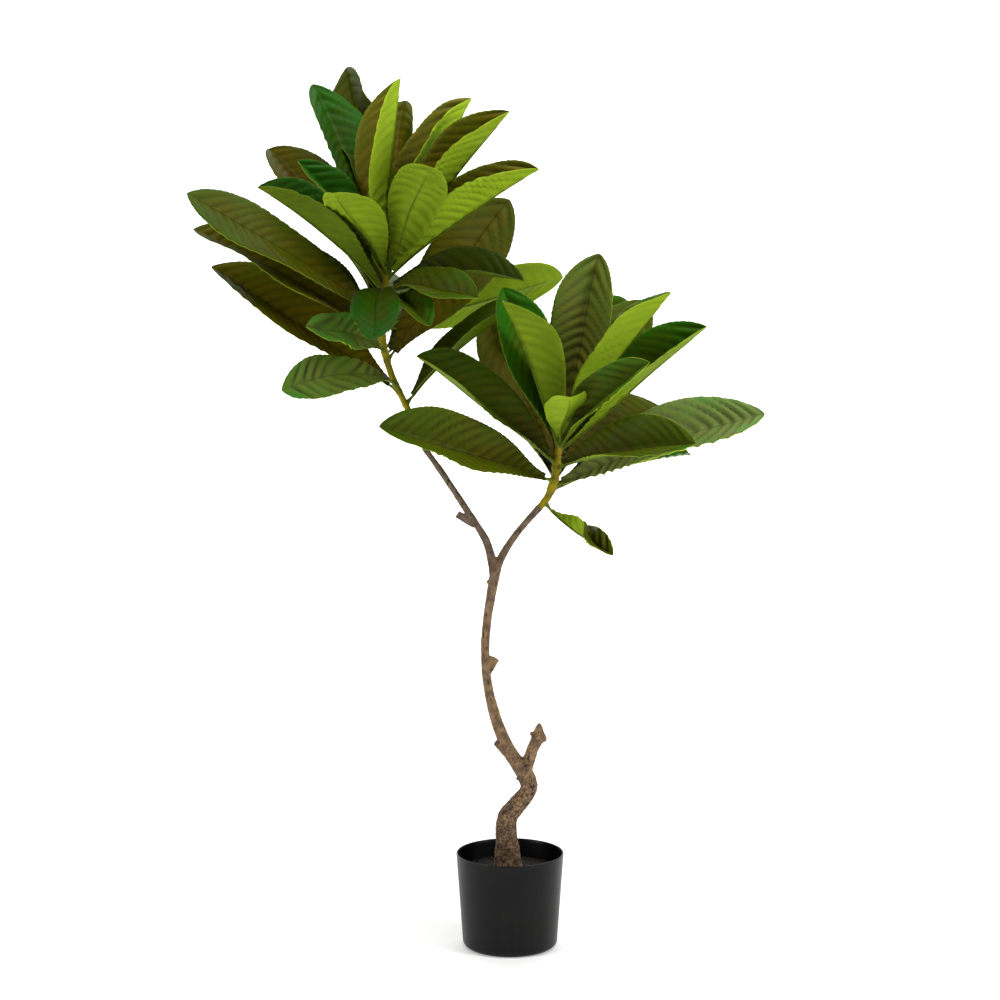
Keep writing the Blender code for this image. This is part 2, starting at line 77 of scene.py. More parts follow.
def turned(profile, turns):
    """A profile of radius and height carried round the axis: (r cos a, r sin a, z) on a grid of
    turn by profile, with its quads. Its two ends lie on the axis and close in fans of triangles."""
    a = np.linspace(0, 2 * math.pi, turns, endpoint=False)[:, None]
    radius, height = profile[1:-1].T
    ring = [radius * np.cos(a), radius * np.sin(a), height + 0 * a]
    points = np.stack(ring, axis=-1).reshape(-1, 3)
    poles = [(0, 0, profile[0, 1]), (0, 0, profile[-1, 1])]
    count = len(radius)
    first = np.arange(turns) * count
    after = np.roll(first, -1)
    j = np.arange(count - 1)[None, :]
    a, b = first[:, None] + j, after[:, None] + j
    quads = np.stack([a, a + 1, b + 1, b], axis=-1).reshape(-1, 4)
    pole = 0 * first + turns * count
    inner = np.stack([pole, first, after], axis=1)
    outer = np.stack([pole + 1, after + count - 1, first + count - 1], axis=1)
    return np.vstack([points, poles]), quads.tolist() + np.vstack([inner, outer]).tolist()


def add_piece(name, points, faces, materials):
    """A smooth-shaded mesh piece of the tree, on its one body."""
    mesh = bpy.data.meshes.new(name)
    mesh.from_pydata(points, [], faces)
    mesh.shade_smooth()
    for material in materials:
        mesh.materials.append(material)
    piece = bpy.data.objects.new(name, mesh)
    bpy.context.scene.collection.objects.link(piece)
    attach(piece, "root")
    return piece


def new_material(name):
    """A material and its node tree."""
    material = bpy.data.materials.new(name)
    material.use_nodes = True
    return material, material.node_tree


def add_node(tree, kind, values=None, **settings):
    """A node with its plain settings and the values of its sockets; a value that is a socket is linked."""
    node = tree.nodes.new(kind)
    for key, value in settings.items():
        setattr(node, key, value)
    for key, value in (values or {}).items():
        if isinstance(value, bpy.types.NodeSocket):
            tree.links.new(value, node.inputs[key])
        else:
            node.inputs[key].default_value = value
    return node


def scale_of(tree, value, low, high, low_to=0.0, high_to=1.0):
    """The value carried from one range to another, and held inside it."""
    values = dict(enumerate((value, low, high, low_to, high_to)))
    return add_node(tree, "ShaderNodeMapRange", values).outputs[0]


def mix_colours(tree, factor, one, other):
    """One colour at factor 0, the other at 1."""
    values = {0: factor, 6: one, 7: other}
    return add_node(tree, "ShaderNodeMix", values, data_type="RGBA").outputs[2]


def maths(tree, operation, one, other=0.0):
    """A sum, a difference or another step of arithmetic."""
    return add_node(tree, "ShaderNodeMath", {0: one, 1: other}, operation=operation).outputs[0]


def times(tree, one, other):
    """A product of two values."""
    return maths(tree, "MULTIPLY", one, other)


def dimmed(tree, colour, share):
    """The colour times a share, which may pass 1."""
    values = {0: colour, "Scale": share}
    return add_node(tree, "ShaderNodeVectorMath", values, operation="SCALE").outputs[0]


def mark_points(mesh, name, values):
    """Gives each vertex a value that materials read by its name."""
    values = np.asarray(values, dtype=np.float32)
    mesh.attributes.new(name, "FLOAT", "POINT").data.foreach_set("value", values)


def attribute_of(tree, name):
    """A value that the vertices of the piece carry."""
    return add_node(tree, "ShaderNodeAttribute", attribute_name=name).outputs["Fac"]


def new_group(name, inputs, outputs):
    """A node group with its float sockets, and its input and output nodes."""
    group = bpy.data.node_groups.new(name, "ShaderNodeTree")
    for in_out, names in (("INPUT", inputs), ("OUTPUT", outputs)):
        for socket in names:
            group.interface.new_socket(socket, in_out=in_out, socket_type="NodeSocketFloat")
    return group, add_node(group, "NodeGroupInput").outputs, add_node(group, "NodeGroupOutput").inputs


def grain_group():
    """Grain in two sizes on Object coordinates: a coarse cloud and a fine speckle, each 0 to 1."""
    group, sizes, results = new_group("fine_grain", ("Coarse", "Fine"), ("Cloud", "Speckle"))
    place = add_node(group, "ShaderNodeTexCoord").outputs["Object"]
    for size, result, detail in (("Coarse", "Cloud", 3.0), ("Fine", "Speckle", 2.0)):
        values = {"Vector": place, "Scale": sizes[size], "Detail": detail}
        noise = add_node(group, "ShaderNodeTexNoise", values)
        group.links.new(noise.outputs["Fac"], results[result])
    return group


GRAIN = grain_group()


def add_grain(tree, coarse, fine):
    """The grain group at two sizes of its own: outputs Cloud and Speckle."""
    values = {"Coarse": coarse, "Fine": fine}
    return add_node(tree, "ShaderNodeGroup", values, node_tree=GRAIN).outputs


def dress(tree, colour, roughness, height, strength, distance, specular=0.5):
    """Links colour, roughness and a bump of this height to the shader; its specular level is even."""
    shader = tree.nodes["Principled BSDF"]
    values = {"Height": height, "Strength": strength, "Distance": distance}
    bump = add_node(tree, "ShaderNodeBump", values).outputs[0]
    for name, socket in (("Base Color", colour), ("Roughness", roughness), ("Normal", bump)):
        tree.links.new(socket, shader.inputs[name])
    shader.inputs["Specular IOR Level"].default_value = specular


def black_plastic():
    """Satin black plastic: faint upright mould streaks, a haze of dust and uneven gloss."""
    material, tree = new_material("black_plastic")
    grain = add_grain(tree, 14.0, 700.0)
    place = add_node(tree, "ShaderNodeTexCoord").outputs["Object"]
    upright = add_node(tree, "ShaderNodeMapping", {"Vector": place, "Scale": (1.0, 1.0, 0.04)})
    values = {"Vector": upright.outputs[0], "Scale": 90.0, "Detail": 2.0}
    streaks = add_node(tree, "ShaderNodeTexNoise", values).outputs["Fac"]
    haze = times(tree, grain["Cloud"], streaks)
    colour = mix_colours(tree, scale_of(tree, haze, 0.15, 0.45), POT_BLACK, POT_DUST)
    roughness = scale_of(tree, haze, 0.1, 0.5, 0.32, 0.42)
    height = maths(tree, "ADD", grain["Speckle"], streaks)
    dress(tree, colour, roughness, height, 0.05, 0.12 * MM, specular=0.15)
    return material


edge_middle = pot_radius(POT_EDGE) - POT_EDGE
outer_foot = arc(edge_middle, POT_EDGE, POT_EDGE, 0, -90, 12)
inner_foot = arc(edge_middle, POT_EDGE, POT_EDGE - POT_WALL, -90, 0, 10)
wall_heights = np.linspace(POT_HEIGHT - 1.5 * LIP, POT_EDGE * 1.3, 24)
outer_wall = np.stack([pot_radius(wall_heights), wall_heights], axis=1)
inner_wall = outer_wall[::-1] - (POT_WALL, 0)
lip = arc(RIM_RADIUS - LIP - 0.02 * MM, POT_HEIGHT - LIP, LIP, 170, 0, 12)
floor_in = np.linspace(0, 1, 6)[:-1, None] * inner_foot[0] * (1, 0) + (0, POT_WALL)
underside = [(outer_foot[-1, 0] * 0.5, 0), (0, 0)]
pot_profile = np.vstack([floor_in, inner_foot, inner_wall, lip, outer_wall, outer_foot, underside])
pot_shell = add_piece("pot_shell", *turned(pot_profile, POT_TURNS), [black_plastic()])
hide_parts("pot")

# THE FILL
# Cement that weighs the pot down, poured round the foot of the trunk and strewn with dark grit.
# The grit is a skin of round grains one to three millimetres across, stuck in the wet cement.

FILL_TOP = 105 * MM
FILL_INSET = 2.3 * MM
FILL_RADIUS = pot_radius(FILL_TOP) - FILL_INSET
GRAIN_COUNT = 1700
GRAIN_RADIUS = (0.7 * MM, 1.9 * MM)
GRAIN_SEED = 11
PLACES_AT_ONCE = 4000
CEMENT_TOP = FILL_TOP - 1.2 * MM
FILL_TURNS = 320
FILL_RINGS = 100
GRIT_DARK = (0.003, 0.0025, 0.002, 1)
GRIT_BROWN = (0.014, 0.011, 0.008, 1)
GRIT_PALE = (0.05, 0.042, 0.03, 1)


def grit_height(places):
    """Domes of round grains: at each place the highest of sqrt(r^2 - d^2) over the grains near it."""
    dice = np.random.default_rng(GRAIN_SEED)
    angle = dice.uniform(0, 2 * math.pi, GRAIN_COUNT)
    reach = FILL_RADIUS * np.sqrt(dice.uniform(0, 1, GRAIN_COUNT))
    grains = np.stack([reach * np.cos(angle), reach * np.sin(angle)], axis=1)
    radii = dice.uniform(*GRAIN_RADIUS, GRAIN_COUNT)
    heights = []
    for first in range(0, len(places), PLACES_AT_ONCE):
        some = places[first : first + PLACES_AT_ONCE]
        apart = ((some[:, None] - grains[None]) ** 2).sum(axis=2)
        heights.append(np.sqrt(np.maximum(radii**2 - apart, 0)).max(axis=1))
    return np.concatenate(heights)


def dark_grit():
    """Dark grains with a few pale ones, dull and gritty."""
    material, tree = new_material("dark_grit")
    grain = add_grain(tree, 260.0, 1500.0)
    brown = mix_colours(tree, grain["Speckle"], GRIT_DARK, GRIT_BROWN)
    colour = mix_colours(tree, scale_of(tree, grain["Cloud"], 0.60, 0.68), brown, GRIT_PALE)
    roughness = scale_of(tree, grain["Cloud"], 0.3, 0.7, 0.75, 1.0)
    dress(tree, colour, roughness, grain["Speckle"], 0.5, 0.4 * MM)
    return material


rings = np.linspace(0, 1, FILL_RINGS)[1:] * FILL_RADIUS
fill_foot = arc(edge_middle, POT_EDGE, POT_EDGE - FILL_INSET, 0, -90, 6)
fill_top = np.stack([rings, 0 * rings + CEMENT_TOP], axis=1)
fill_side = [(pot_radius(h) - FILL_INSET, h) for h in (9 * CM, 6 * CM, 3 * CM)]
fill_middle = [(0, CEMENT_TOP + 0.2 * MM)]
fill_profile = np.vstack([fill_middle, fill_top, fill_side, fill_foot, [(0, FILL_INSET)]])
fill_points, fill_faces = turned(fill_profile, FILL_TURNS)
on_top = fill_points[:, 2] > CEMENT_TOP - 0.1 * MM
fill_points[on_top, 2] += grit_height(fill_points[on_top, :2])
fill_points[on_top, 2] = np.minimum(fill_points[on_top, 2], FILL_TOP)
grit_fill = add_piece("grit_fill", fill_points, [f[::-1] for f in fill_faces], [dark_grit()])
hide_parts("potting_fill")

# THE TRUNK AND BOUGHS
# A gnarled stem with knots, sawn stubs and one cut side branch, forking into two thin boughs.
# Its limbs are round bars along their ways, melted into one skin that then takes the bark's relief:
# rounded plates near the foot, long fibres above.

TRUNK_WAY = (
    (-0.2, 0.0, 9.3, 22.5),
    (-0.2, 0.0, 10.5, 20.0),
    (-0.25, 0.0, 12.0, 17.8),
    (-0.5, 0.1, 15.0, 15.4),
    (-0.4, 0.3, 17.6, 13.6),
    (1.0, 0.6, 19.4, 12.4),
    (2.5, 0.7, 21.4, 11.4),
    (2.1, 0.4, 23.4, 12.2),
    (0.6, 0.2, 25.7, 10.2),
    (-0.9, 0.3, 28.4, 8.8),
    (-2.4, 0.6, 32.9, 7.1),
    (-3.2, 0.7, 37.4, 6.1),
    (-3.3, 0.5, 42.0, 5.8),
    (-2.8, 0.3, 46.6, 6.1),
    (-2.1, 0.2, 50.6, 7.2),
)
LEFT_WAY = (
    (-2.1, 0.2, 50.6, 7.0),
    (-2.4, 0.1, 52.6, 6.2),
    (-3.0, 0.0, 55.0, 5.5),
    (-4.2, -0.1, 57.2, 5.0),
    (-6.0, -0.2, 60.0, 4.6),
    (-9.2, -0.2, 64.9, 4.3),
    (-11.6, 0.0, 68.4, 4.3),
    (-13.6, 0.2, 73.2, 4.6),
    (-15.6, 0.3, 77.4, 4.8),
    (-16.8, 0.3, 82.2, 5.0),
    (-16.7, 0.2, 87.2, 4.8),
    (-16.0, 0.0, 91.6, 3.4),
)
RIGHT_WAY = (
    (-2.2, 0.2, 50.2, 6.6),
    (-1.4, 0.2, 52.7, 5.8),
    (-0.2, 0.2, 54.9, 5.0),
    (1.3, 0.1, 57.0, 4.5),
    (3.2, 0.0, 59.2, 4.5),
    (4.9, -0.1, 61.2, 5.4),
    (5.9, -0.1, 63.8, 6.0),
    (6.2, 0.0, 66.0, 5.4),
    (6.6, 0.0, 69.2, 3.6),
)
CUT_BRANCH_WAY = (
    (1.6, 0.4, 22.6, 9.0),
    (2.2, 0.3, 24.6, 9.2),
    (2.8, 0.1, 26.6, 8.0),
    (3.4, 0.0, 28.0, 8.4),
    (3.8, 0.0, 28.9, 9.4),
    (3.9, 0.1, 29.9, 6.2),
    (3.95, 0.1, 30.7, 2.2),
)
STUBS = (
    ((-3.2, 0.6, 37.4, 6.4), (-2.05, 0.25, 39.5, 6.6)),
    ((0.2, 0.3, 26.2, 8.0), (-2.0, 0.1, 28.1, 5.0)),
    ((-2.3, 0.2, 49.6, 4.4), (-3.1, 0.1, 50.0, 2.6)),
    ((3.7, 0.0, 28.5, 6.0), (4.85, -0.2, 28.7, 4.2)),
    ((3.6, 0.0, 28.9, 4.6), (2.7, 0.3, 29.3, 3.0)),
    ((-4.7, -0.1, 57.6, 5.2), (-7.0, -0.4, 59.1, 5.0)),
)
LEFT_PRONG_TOP = 53.8
RIGHT_PRONG_TOP = 54.2
LEFT_BOUGH_TOP = 68.4
RIGHT_BOUGH_TOP = 60.0
TRUNK_FOOT = FILL_TOP - 2 * MM
GAP = 0.3 * MM
WAY_STEPS = 3
BAR_SIDES = 24
BAR_ACROSS = np.array((1.0, 0.0, 0.2))
RING_GAP = 3 * MM
SKIN_CELL = 0.9 * MM
SKIN_SMOOTHING = 5

# Sizes of the relief's forms across, back and along; plates give way to fibres between two heights.
LUMPS = np.array((11, 11, 13)) * MM
PLATES = np.array((3.6, 3.6, 4.4)) * MM
CHIPS = np.array((2.2, 2.2, 4.2)) * MM
PITS = np.array((3.2, 3.2, 5)) * MM
FIBRES = np.array((1.5, 1.5, 16)) * MM
THREADS = np.array((0.8, 0.8, 7)) * MM
WANDER = 1.5 * MM
WANDER_SIZE = 6 * MM
GNARLED_TO = 20 * CM
FIBRES_FROM = 34 * CM
BUFF = ((0.30, 0.180, 0.086, 1), (0.180, 0.122, 0.078, 1))
UMBER = ((0.130, 0.072, 0.032, 1), (0.085, 0.056, 0.037, 1))
# The colour of the painted shade in the bark's cracks.
CRACK_SHADE = (0.028, 0.016, 0.008, 1)


def smooth_way(points):
    """A Catmull-Rom curve through all the points: rows of x, y, z and radius in metres."""
    rows = np.array(points) * (CM, CM, CM, MM)
    rows = np.vstack([2 * rows[0] - rows[1], rows, 2 * rows[-1] - rows[-2]])
    t = np.linspace(0, 1, WAY_STEPS, endpoint=False)[:, None]
    pieces = []
    for a, b, c, d in zip(rows, rows[1:], rows[2:], rows[3:]):
        bend = 2 * a - 5 * b + 4 * c - d
        twist = 3 * (b - c) + d - a
        pieces.append(b + 0.5 * (t * (c - a) + t**2 * bend + t**3 * twist))
    return np.vstack([*pieces, rows[-2:-1]])


def at_height(way, height):
    """The way's row where it passes this height."""
    return np.array([np.interp(height, way[:, 2], way[:, i]) for i in range(4)])


def stretch(way, low, high):
    """The part of a rising way between two heights, with rows at both."""
    inside = way[(way[:, 2] > low + GAP) & (way[:, 2] < high - GAP)]
    return np.vstack([at_height(way, low), inside, at_height(way, high)])


def unit(vectors):
    """The same directions with a length of one."""
    return vectors / np.linalg.norm(vectors, axis=-1, keepdims=True)


def swept(centres, radii, across, sides):
    """A round bar: centre + radius (cos a across + sin a other) on a grid of way by turn, where
    other is square to the way and to across. Points, quads, and triangles over its two ends."""
    heads = unit(np.gradient(centres, axis=0))
    across = unit(across - heads * (across * heads).sum(axis=1, keepdims=True))
    other = np.cross(heads, across)
    a = np.linspace(0, 2 * math.pi, sides, endpoint=False)[None, :, None]
    rings = np.cos(a) * across[:, None] + np.sin(a) * other[:, None]
    points = centres[:, None] + radii[:, None, None] * rings
    i = np.arange(len(centres) - 1)[:, None] * sides
    j = np.arange(sides)[None, :]
    k = np.roll(j, -1)
    quads = np.stack([i + j, i + k, i + sides + k, i + sides + j], axis=-1).reshape(-1, 4)
    j, k = j[0], k[0]
    pole = 0 * j + len(centres) * sides
    end = pole - sides
    fans = np.vstack([np.stack([pole, k, j], axis=1), np.stack([pole + 1, end + j, end + k], axis=1)])
    return np.vstack([points.reshape(-1, 3), centres[:1], centres[-1:]]), quads, fans


def joined(parts):
    """Several meshes of points, quads and triangles put into one list of points and of faces."""
    points, faces, start = [], [], 0
    for corners, quads, triangles in parts:
        points.append(corners)
        faces += (quads + start).tolist() + (triangles + start).tolist()
        start += len(corners)
    return np.vstack(points), faces


def bark_bar(rows):
    """One limb as a round bar, its rings closer together than its way's points."""
    count = max(8, int(np.ptp(rows[:, 2]) / RING_GAP))
    along = np.linspace(0, len(rows) - 1, count)
    fine = np.stack([np.interp(along, np.arange(len(rows)), rows[:, i]) for i in range(4)], axis=1)
    return swept(fine[:, :3], fine[:, 3], BAR_ACROSS, BAR_SIDES)


def scattered(values):
    """Values from -1 to 1 that look random: the fractions of a large multiple of the sine."""
    return np.modf(np.sin(values) * 43758.5453)[0]


def lattice_noise(places, seed):
    """Smooth noise from -1 to 1: a random value at each whole-number corner, blended by 3u^2 - 2u^3."""
    base = np.floor(places)
    u = places - base
    u = u * u * (3 - 2 * u)
    total = 0
    for corner in np.ndindex(2, 2, 2):
        value = scattered((base + corner) @ (127.1, 311.7, 74.7) + seed)
        total = total + value * np.where(corner, u, 1 - u).prod(axis=1)
    return total


def cell_edges(places, seed):
    """Rounded plates: distance to the second nearest of one random point a lattice box, less that
    to the nearest, so that it is 0 along the cracks."""
    base = np.floor(places)
    near = np.full((2, len(places)), 9.0)
    for step in np.ndindex(3, 3, 3):
        box = base + step - np.array((1, 1, 1))
        dots = box @ np.array(((127.1, 269.5, 419.2), (311.7, 183.3, 371.9), (74.7, 246.1, 168.4)))
        point = box + np.abs(scattered(dots + seed))
        apart = np.linalg.norm(places - point, axis=1)
        near[1] = np.minimum(near[1], np.maximum(near[0], apart))
        near[0] = np.minimum(near[0], apart)
    return near[1] - near[0]


def bark_relief(places):
    """Height of the bark over the smooth limb, a weighted sum of lumps, plates, chips, fibres and
    threads less the pits, and how raised each place is, from 0 in a crack to 1."""
    gnarled = np.clip((FIBRES_FROM - places[:, 2]) / (FIBRES_FROM - GNARLED_TO), 0, 1)
    wander = [lattice_noise(places / WANDER_SIZE, seed) for seed in (1, 2, 3)]
    bent = places + WANDER * np.stack(wander, axis=1)
    plates = np.clip(cell_edges(bent / PLATES, 5) / 0.5, 0, 1)
    chips = np.clip(cell_edges(bent / CHIPS, 8) / 0.5, 0, 1)
    fibres = lattice_noise(places / FIBRES, 7)
    threads = lattice_noise(places / THREADS, 9)
    lumps = lattice_noise(places / LUMPS, 4)
    pits = np.minimum(lattice_noise(places / PITS, 6) + 0.35, 0)
    height = gnarled * (1.3 * lumps + 0.55 * (plates - 0.7) + 0.25 * (chips - 0.6))
    height += (1 - gnarled) * (0.40 * lumps + 0.30 * fibres + 0.16 * threads + 0.25 * (chips - 0.6))
    height += 0.7 * pits
    raised = gnarled * plates + (1 - gnarled) * (0.62 + 0.38 * fibres)
    return height * MM, np.clip(raised * (0.7 + 0.3 * chips) + 0.9 * pits, 0, 1)


def painted_bark():
    """Bark moulded and painted: buff on the raised parts, with painted shade in the cracks, greyer higher
    up.
    """
    material, tree = new_material("painted_bark")
    grain = add_grain(tree, 90.0, 1400.0)
    raised = attribute_of(tree, "raised")
    place = add_node(tree, "ShaderNodeTexCoord").outputs["Object"]
    up = add_node(tree, "ShaderNodeSeparateXYZ", {0: place}).outputs["Z"]
    high = scale_of(tree, up, 0.42, 0.60)
    patches = scale_of(tree, grain["Cloud"], 0.38, 0.62)
    wood = mix_colours(tree, patches, mix_colours(tree, high, *UMBER), mix_colours(tree, high, *BUFF))
    # Painted shade in the bark's cracks, where the relief is lowest.
    painted_shade = mix_colours(tree, scale_of(tree, raised, 0.0, 0.42), CRACK_SHADE, wood)
    colour = dimmed(tree, painted_shade, scale_of(tree, grain["Speckle"], 0.35, 0.65, 0.80, 1.18))
    roughness = scale_of(tree, raised, 0, 1, 0.9, 0.6)
    height = maths(tree, "ADD", grain["Speckle"], grain["Cloud"])
    dress(tree, colour, roughness, height, 0.45, 0.5 * MM)
    return material


trunk_way = smooth_way(TRUNK_WAY)
left_way = smooth_way(LEFT_WAY)
right_way = smooth_way(RIGHT_WAY)
limb_rows = [
    stretch(trunk_way, TRUNK_FOOT, trunk_way[-1, 2]),
    stretch(left_way, left_way[0, 2], LEFT_BOUGH_TOP * CM),
    stretch(right_way, right_way[0, 2], RIGHT_BOUGH_TOP * CM),
    smooth_way(CUT_BRANCH_WAY),
]
stub_rows = []
for stub in STUBS:
    root, end = np.array(stub) * (CM, CM, CM, MM)
    stub_rows.append(root + np.linspace(0, 1, 6)[:, None] * (end - root))
bark_points, bark_faces = joined([bark_bar(rows) for rows in limb_rows + stub_rows])
bark = add_piece("bark_limbs", bark_points, bark_faces, [painted_bark()])
skin = bark.modifiers.new("Skin", "REMESH")
skin.mode = "VOXEL"
skin.voxel_size = SKIN_CELL
melt = bark.modifiers.new("Melt", "SMOOTH")
melt.factor = 0.5
melt.iterations = SKIN_SMOOTHING
bpy.context.view_layer.update()
melted = bpy.data.meshes.new_from_object(bark.evaluated_get(bpy.context.evaluated_depsgraph_get()))
bark.modifiers.clear()
bark.data = melted
count = len(melted.vertices)
places = np.empty(3 * count, dtype=np.float32)
melted.vertices.foreach_get("co", places)
places = places.reshape(-1, 3).astype(float)
normals = np.empty(3 * count, dtype=np.float32)
melted.vertex_normals.foreach_get("vector", normals)
relief, raised = bark_relief(places)
moved = places + normals.reshape(-1, 3) * relief[:, None]
moved[:, 2] = np.maximum(moved[:, 2], TRUNK_FOOT)
melted.vertices.foreach_set("co", moved.astype(np.float32).ravel())
mark_points(melted, "raised", raised)
melted.shade_smooth()
melted.update()
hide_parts("trunk", "left_bough", "right_bough")

# THE LEAVES' PLACES
# Each crown is a rosette of leaves wired to a green shoot that goes on from its bough's cut end.
# A leaf is set out by its root on the shoot, its tip, and how its upper side leans, folds and bows;
# a leaf that would touch another is shifted a little at its tip, front to back, and rolled.

LEFT_MASSES = (
    ("left_lower_leaves", 78.0),
    ("left_middle_leaves", 84.2),
    ("left_upper_leaves", 89.4),
    ("left_top_leaves", 91.6),
)
RIGHT_MASSES = (
    ("right_lower_leaves", 64.4),
    ("right_middle_leaves", 66.7),
    ("right_top_leaves", 69.2),
)

# Height of the root; tip across, back and up (cm); lean and fold (degrees); bow (cm). Then how
# olive the upper side is and how pale the underside, how deep the pleats, twist (degrees), and how
# light the leaf is; its highest values are painted sheen standing in for gloss.
Leaf = namedtuple("Leaf", "root across back up lean fold bow olive pale pleat twist tone")
LEFT_LEAVES = (
    (73.6, 2.4, 6.0, 87.2, 14, 28, 1.1, 0.5, 0.3, 0.3, 0, 1.0),
    (75.4, -39.6, 4.0, 91.6, 40, 30, 0.2, 0.95, 0.4, 0.8, 10, 1.1),
    (76.2, -29.4, -9.0, 76.4, 48, 8, 3.0, 0.35, 0.4, 1.6, -20, 2.0),
    (79.4, -0.1, 8.0, 100.3, 80, 16, 0.8, 0.8, 0.4, 0.8, 10, 0.85),
    (80.6, -26.2, -9.0, 84.6, 45, 20, 1.2, 0.25, 0.4, 1.6, 25, 1.9),
    (82.2, -41.7, 2.0, 96.6, 32, 30, 0.8, 0.9, 0.5, 0.8, 10, 1.1),
    (84.8, -42.0, -2.0, 101.4, 30, 10, 0.8, 0.6, 0.6, 0.8, -8, 1.1),
    (89.2, -17.3, -16.0, 83.5, 80, 10, 2.0, 0.2, 0.4, 0.4, 0, 0.68),
    (87.2, -10.2, -12.0, 84.9, 30, 35, 1.4, 0.35, 0.4, 0.6, 0, 1.0),
    (88.0, -4.1, -11.0, 88.4, 35, 35, 1.6, 0.45, 0.5, 0.6, 10, 1.0),
    (88.6, 1.7, -7.0, 90.2, 40, 46, 2.0, 0.45, 0.5, 0.6, -10, 0.52),
    (83.4, 7.3, 16.0, 89.5, -44, 8, 0.2, 0.5, 0.6, 0.5, 0, 1.5),
    (88.2, -32.2, -9.0, 102.3, 19, 66, 1.2, 0.2, 0.35, 0.9, 10, 0.62),
    (88.8, -32.7, 13.0, 107.0, 44, 34, 1.0, 0.95, 0.5, 0.7, 0, 0.85),
    (89.7, -27.8, 1.0, 105.5, 40, 45, 0.8, 0, 0.5, 0.9, 0, 0.85),
    (90.2, -26.5, 11.0, 115.6, 47, 33, 1.0, 0.12, 0.5, 0.9, 0, 0.95),
    (90.6, -22.5, 22.0, 118.0, 94, 30, 0.8, 0.6, 0.5, 0.6, -80, 0.75),
    (91.2, -14.3, 2.0, 116.2, 155, 58, 0.6, 0.9, 1.0, 0.6, 0, 1.65),
    (91.0, -14.0, 10.0, 113.4, 118, 40, 0.8, 0.85, 0.5, 0.6, 0, 1.0),
    (91.0, -5.0, 2.0, 113.6, 12, 66, 0.6, 0.9, 0.8, 1.0, 0, 1.7),
    (90.6, -0.1, -3.0, 111.9, 12, 66, 0.6, 0.9, 0.9, 1.3, 0, 1.35),
    (90.0, 3.7, -5.0, 104.5, 25, 60, 0.8, 0.9, 0.9, 1.3, 5, 1.55),
    (91.4, -10.2, -15.0, 105.0, -90, 32, 0.6, 0.4, 1.0, 1.3, 0, 0.95),
    (91.4, -22.2, -13.0, 101.7, -60, 28, 0.6, 0.4, 0.9, 0.8, 0, 1.05),
)
RIGHT_LEAVES = (
    (60.6, 13.4, -7.0, 54.6, 20, 50, -0.6, 0.7, 1.2, 1.8, 60, 1.2),
    (62.6, 34.0, 4.0, 72.0, 44, 31, 1.0, 0.4, 0.4, 1.8, 0, 2.6),
    (63.5, -16.8, -12.0, 72.1, 48, 40, -0.1, 0.55, 0.6, 1.2, 10, 1.15),
    (64.9, -3.2, 9.0, 84.4, 75, 32, 0.6, 1, 0.4, 0.7, 0, 2.1),
    (65.2, 23.4, -15.0, 70.2, 39, 46, 1.0, 0.5, 0.5, 1.0, 10, 1.05),
    (65.7, -12.2, -5.0, 80.5, 38, 46, 0.3, 0.45, 0.6, 0.9, 10, 1.0),
    (67.3, -1.0, 6.0, 89.0, 70, 35, 0.8, 0.15, 0.5, 0.7, 0, 1.2),
    (67.6, -1.0, -6.0, 87.9, -45, 45, 0.6, 0.4, 0.8, 0.8, 0, 0.88),
    (68.0, 11.8, 4.0, 93.3, 80, 36, 0.6, 0.6, 0.6, 1.3, 0, 2.0),
    (68.2, 15.2, 13.0, 87.0, 85, 35, 0.6, 0.4, 0.5, 0.8, 0, 1.1),
    (67.8, 18.2, 10.0, 86.8, 75, 30, 0.6, 0.7, 0.5, 0.8, 0, 1.1),
    (67.9, 20.8, -5.0, 88.7, -5, 45, 0.6, 0.4, 0.9, 0.7, 0, 1.25),
    (67.0, 25.8, 3.0, 84.0, 32, 52, -0.1, 0.25, 0.7, 0.8, 0, 1.1),
    (68.0, 17.7, -12.0, 80.3, 43, 52, 0.6, 0.4, 0.6, 1.2, 0, 1.4),
    (68.6, 7.6, -14.0, 76.0, -72, 30, 0.4, 0.3, 0.9, 0.5, 0, 1.2),
    (66.9, 14.6, 15.0, 71.2, -20, 28, 0.8, 0.6, 0.7, 0.8, 0, 1.1),
)

# Back leaves: how many, the stride through their headings, first and last heading (degrees), lowest
# and highest root (cm), flattest and steepest rise (degrees).
LEFT_BACK = (8, 5, 70, 150, 80.2, 88.6, 8, 45)
RIGHT_BACK = (8, 3, 36, 120, 62.2, 67.6, 8, 32)
BACK_REACH = 24.5
BACK_JITTER = 1.5
BACK_LEAN = 30
BACK_FOLD = 38
BACK_BOW = 1.0
BACK_OLIVES = (0.2, 0.9, 0.4, 0.7)
BACK_PALE = 0.7
BACK_PLEAT = 0.9
BACK_TWISTS = (8, -3)
BACK_TONE = 1.1
SEED = 7
CLEARANCE = 1.0 * MM
ROOT_INSET = 0.7
CROWDED_RINGS = 4
TIP_SHIFTS = (0, -1, 1, -2, 2, -3, 3, -4, 4, -5, 5)
ROLL_SHIFTS = (0, 6, -6, 12, -12, 18, -18)
ROLL_PER_SHIFT = 6
FRONT = np.array((0.0, -1.0, 0.0))
STALK = 28 * MM
STALK_RADIUS = 2.2 * MM
SHELL_THICKNESS = 3.0 * MM
WIDTH_SHARE = 0.38
MOST_WIDTH = 98 * MM
BLUNT_BASE = 0.15
BLUNT_TIP = 0.22
BASE_FADE = 4
WIDEST = 1.4
ROUNDNESS = 2.3
TIP_HALF_WIDTH = 3 * MM
TIP_FLATTENED = 0.5
MIDRIB_NEAR = (0.30, 1.6)
MIDRIB_FAR = (0.68, 1.0)
SHELL_SIDES = 6
STALK_RINGS = 2
BLADE_STATIONS = (0.0, 0.1, 0.25, 0.42, 0.58, 0.73, 0.86, 0.95, 1.0)
RING = 8


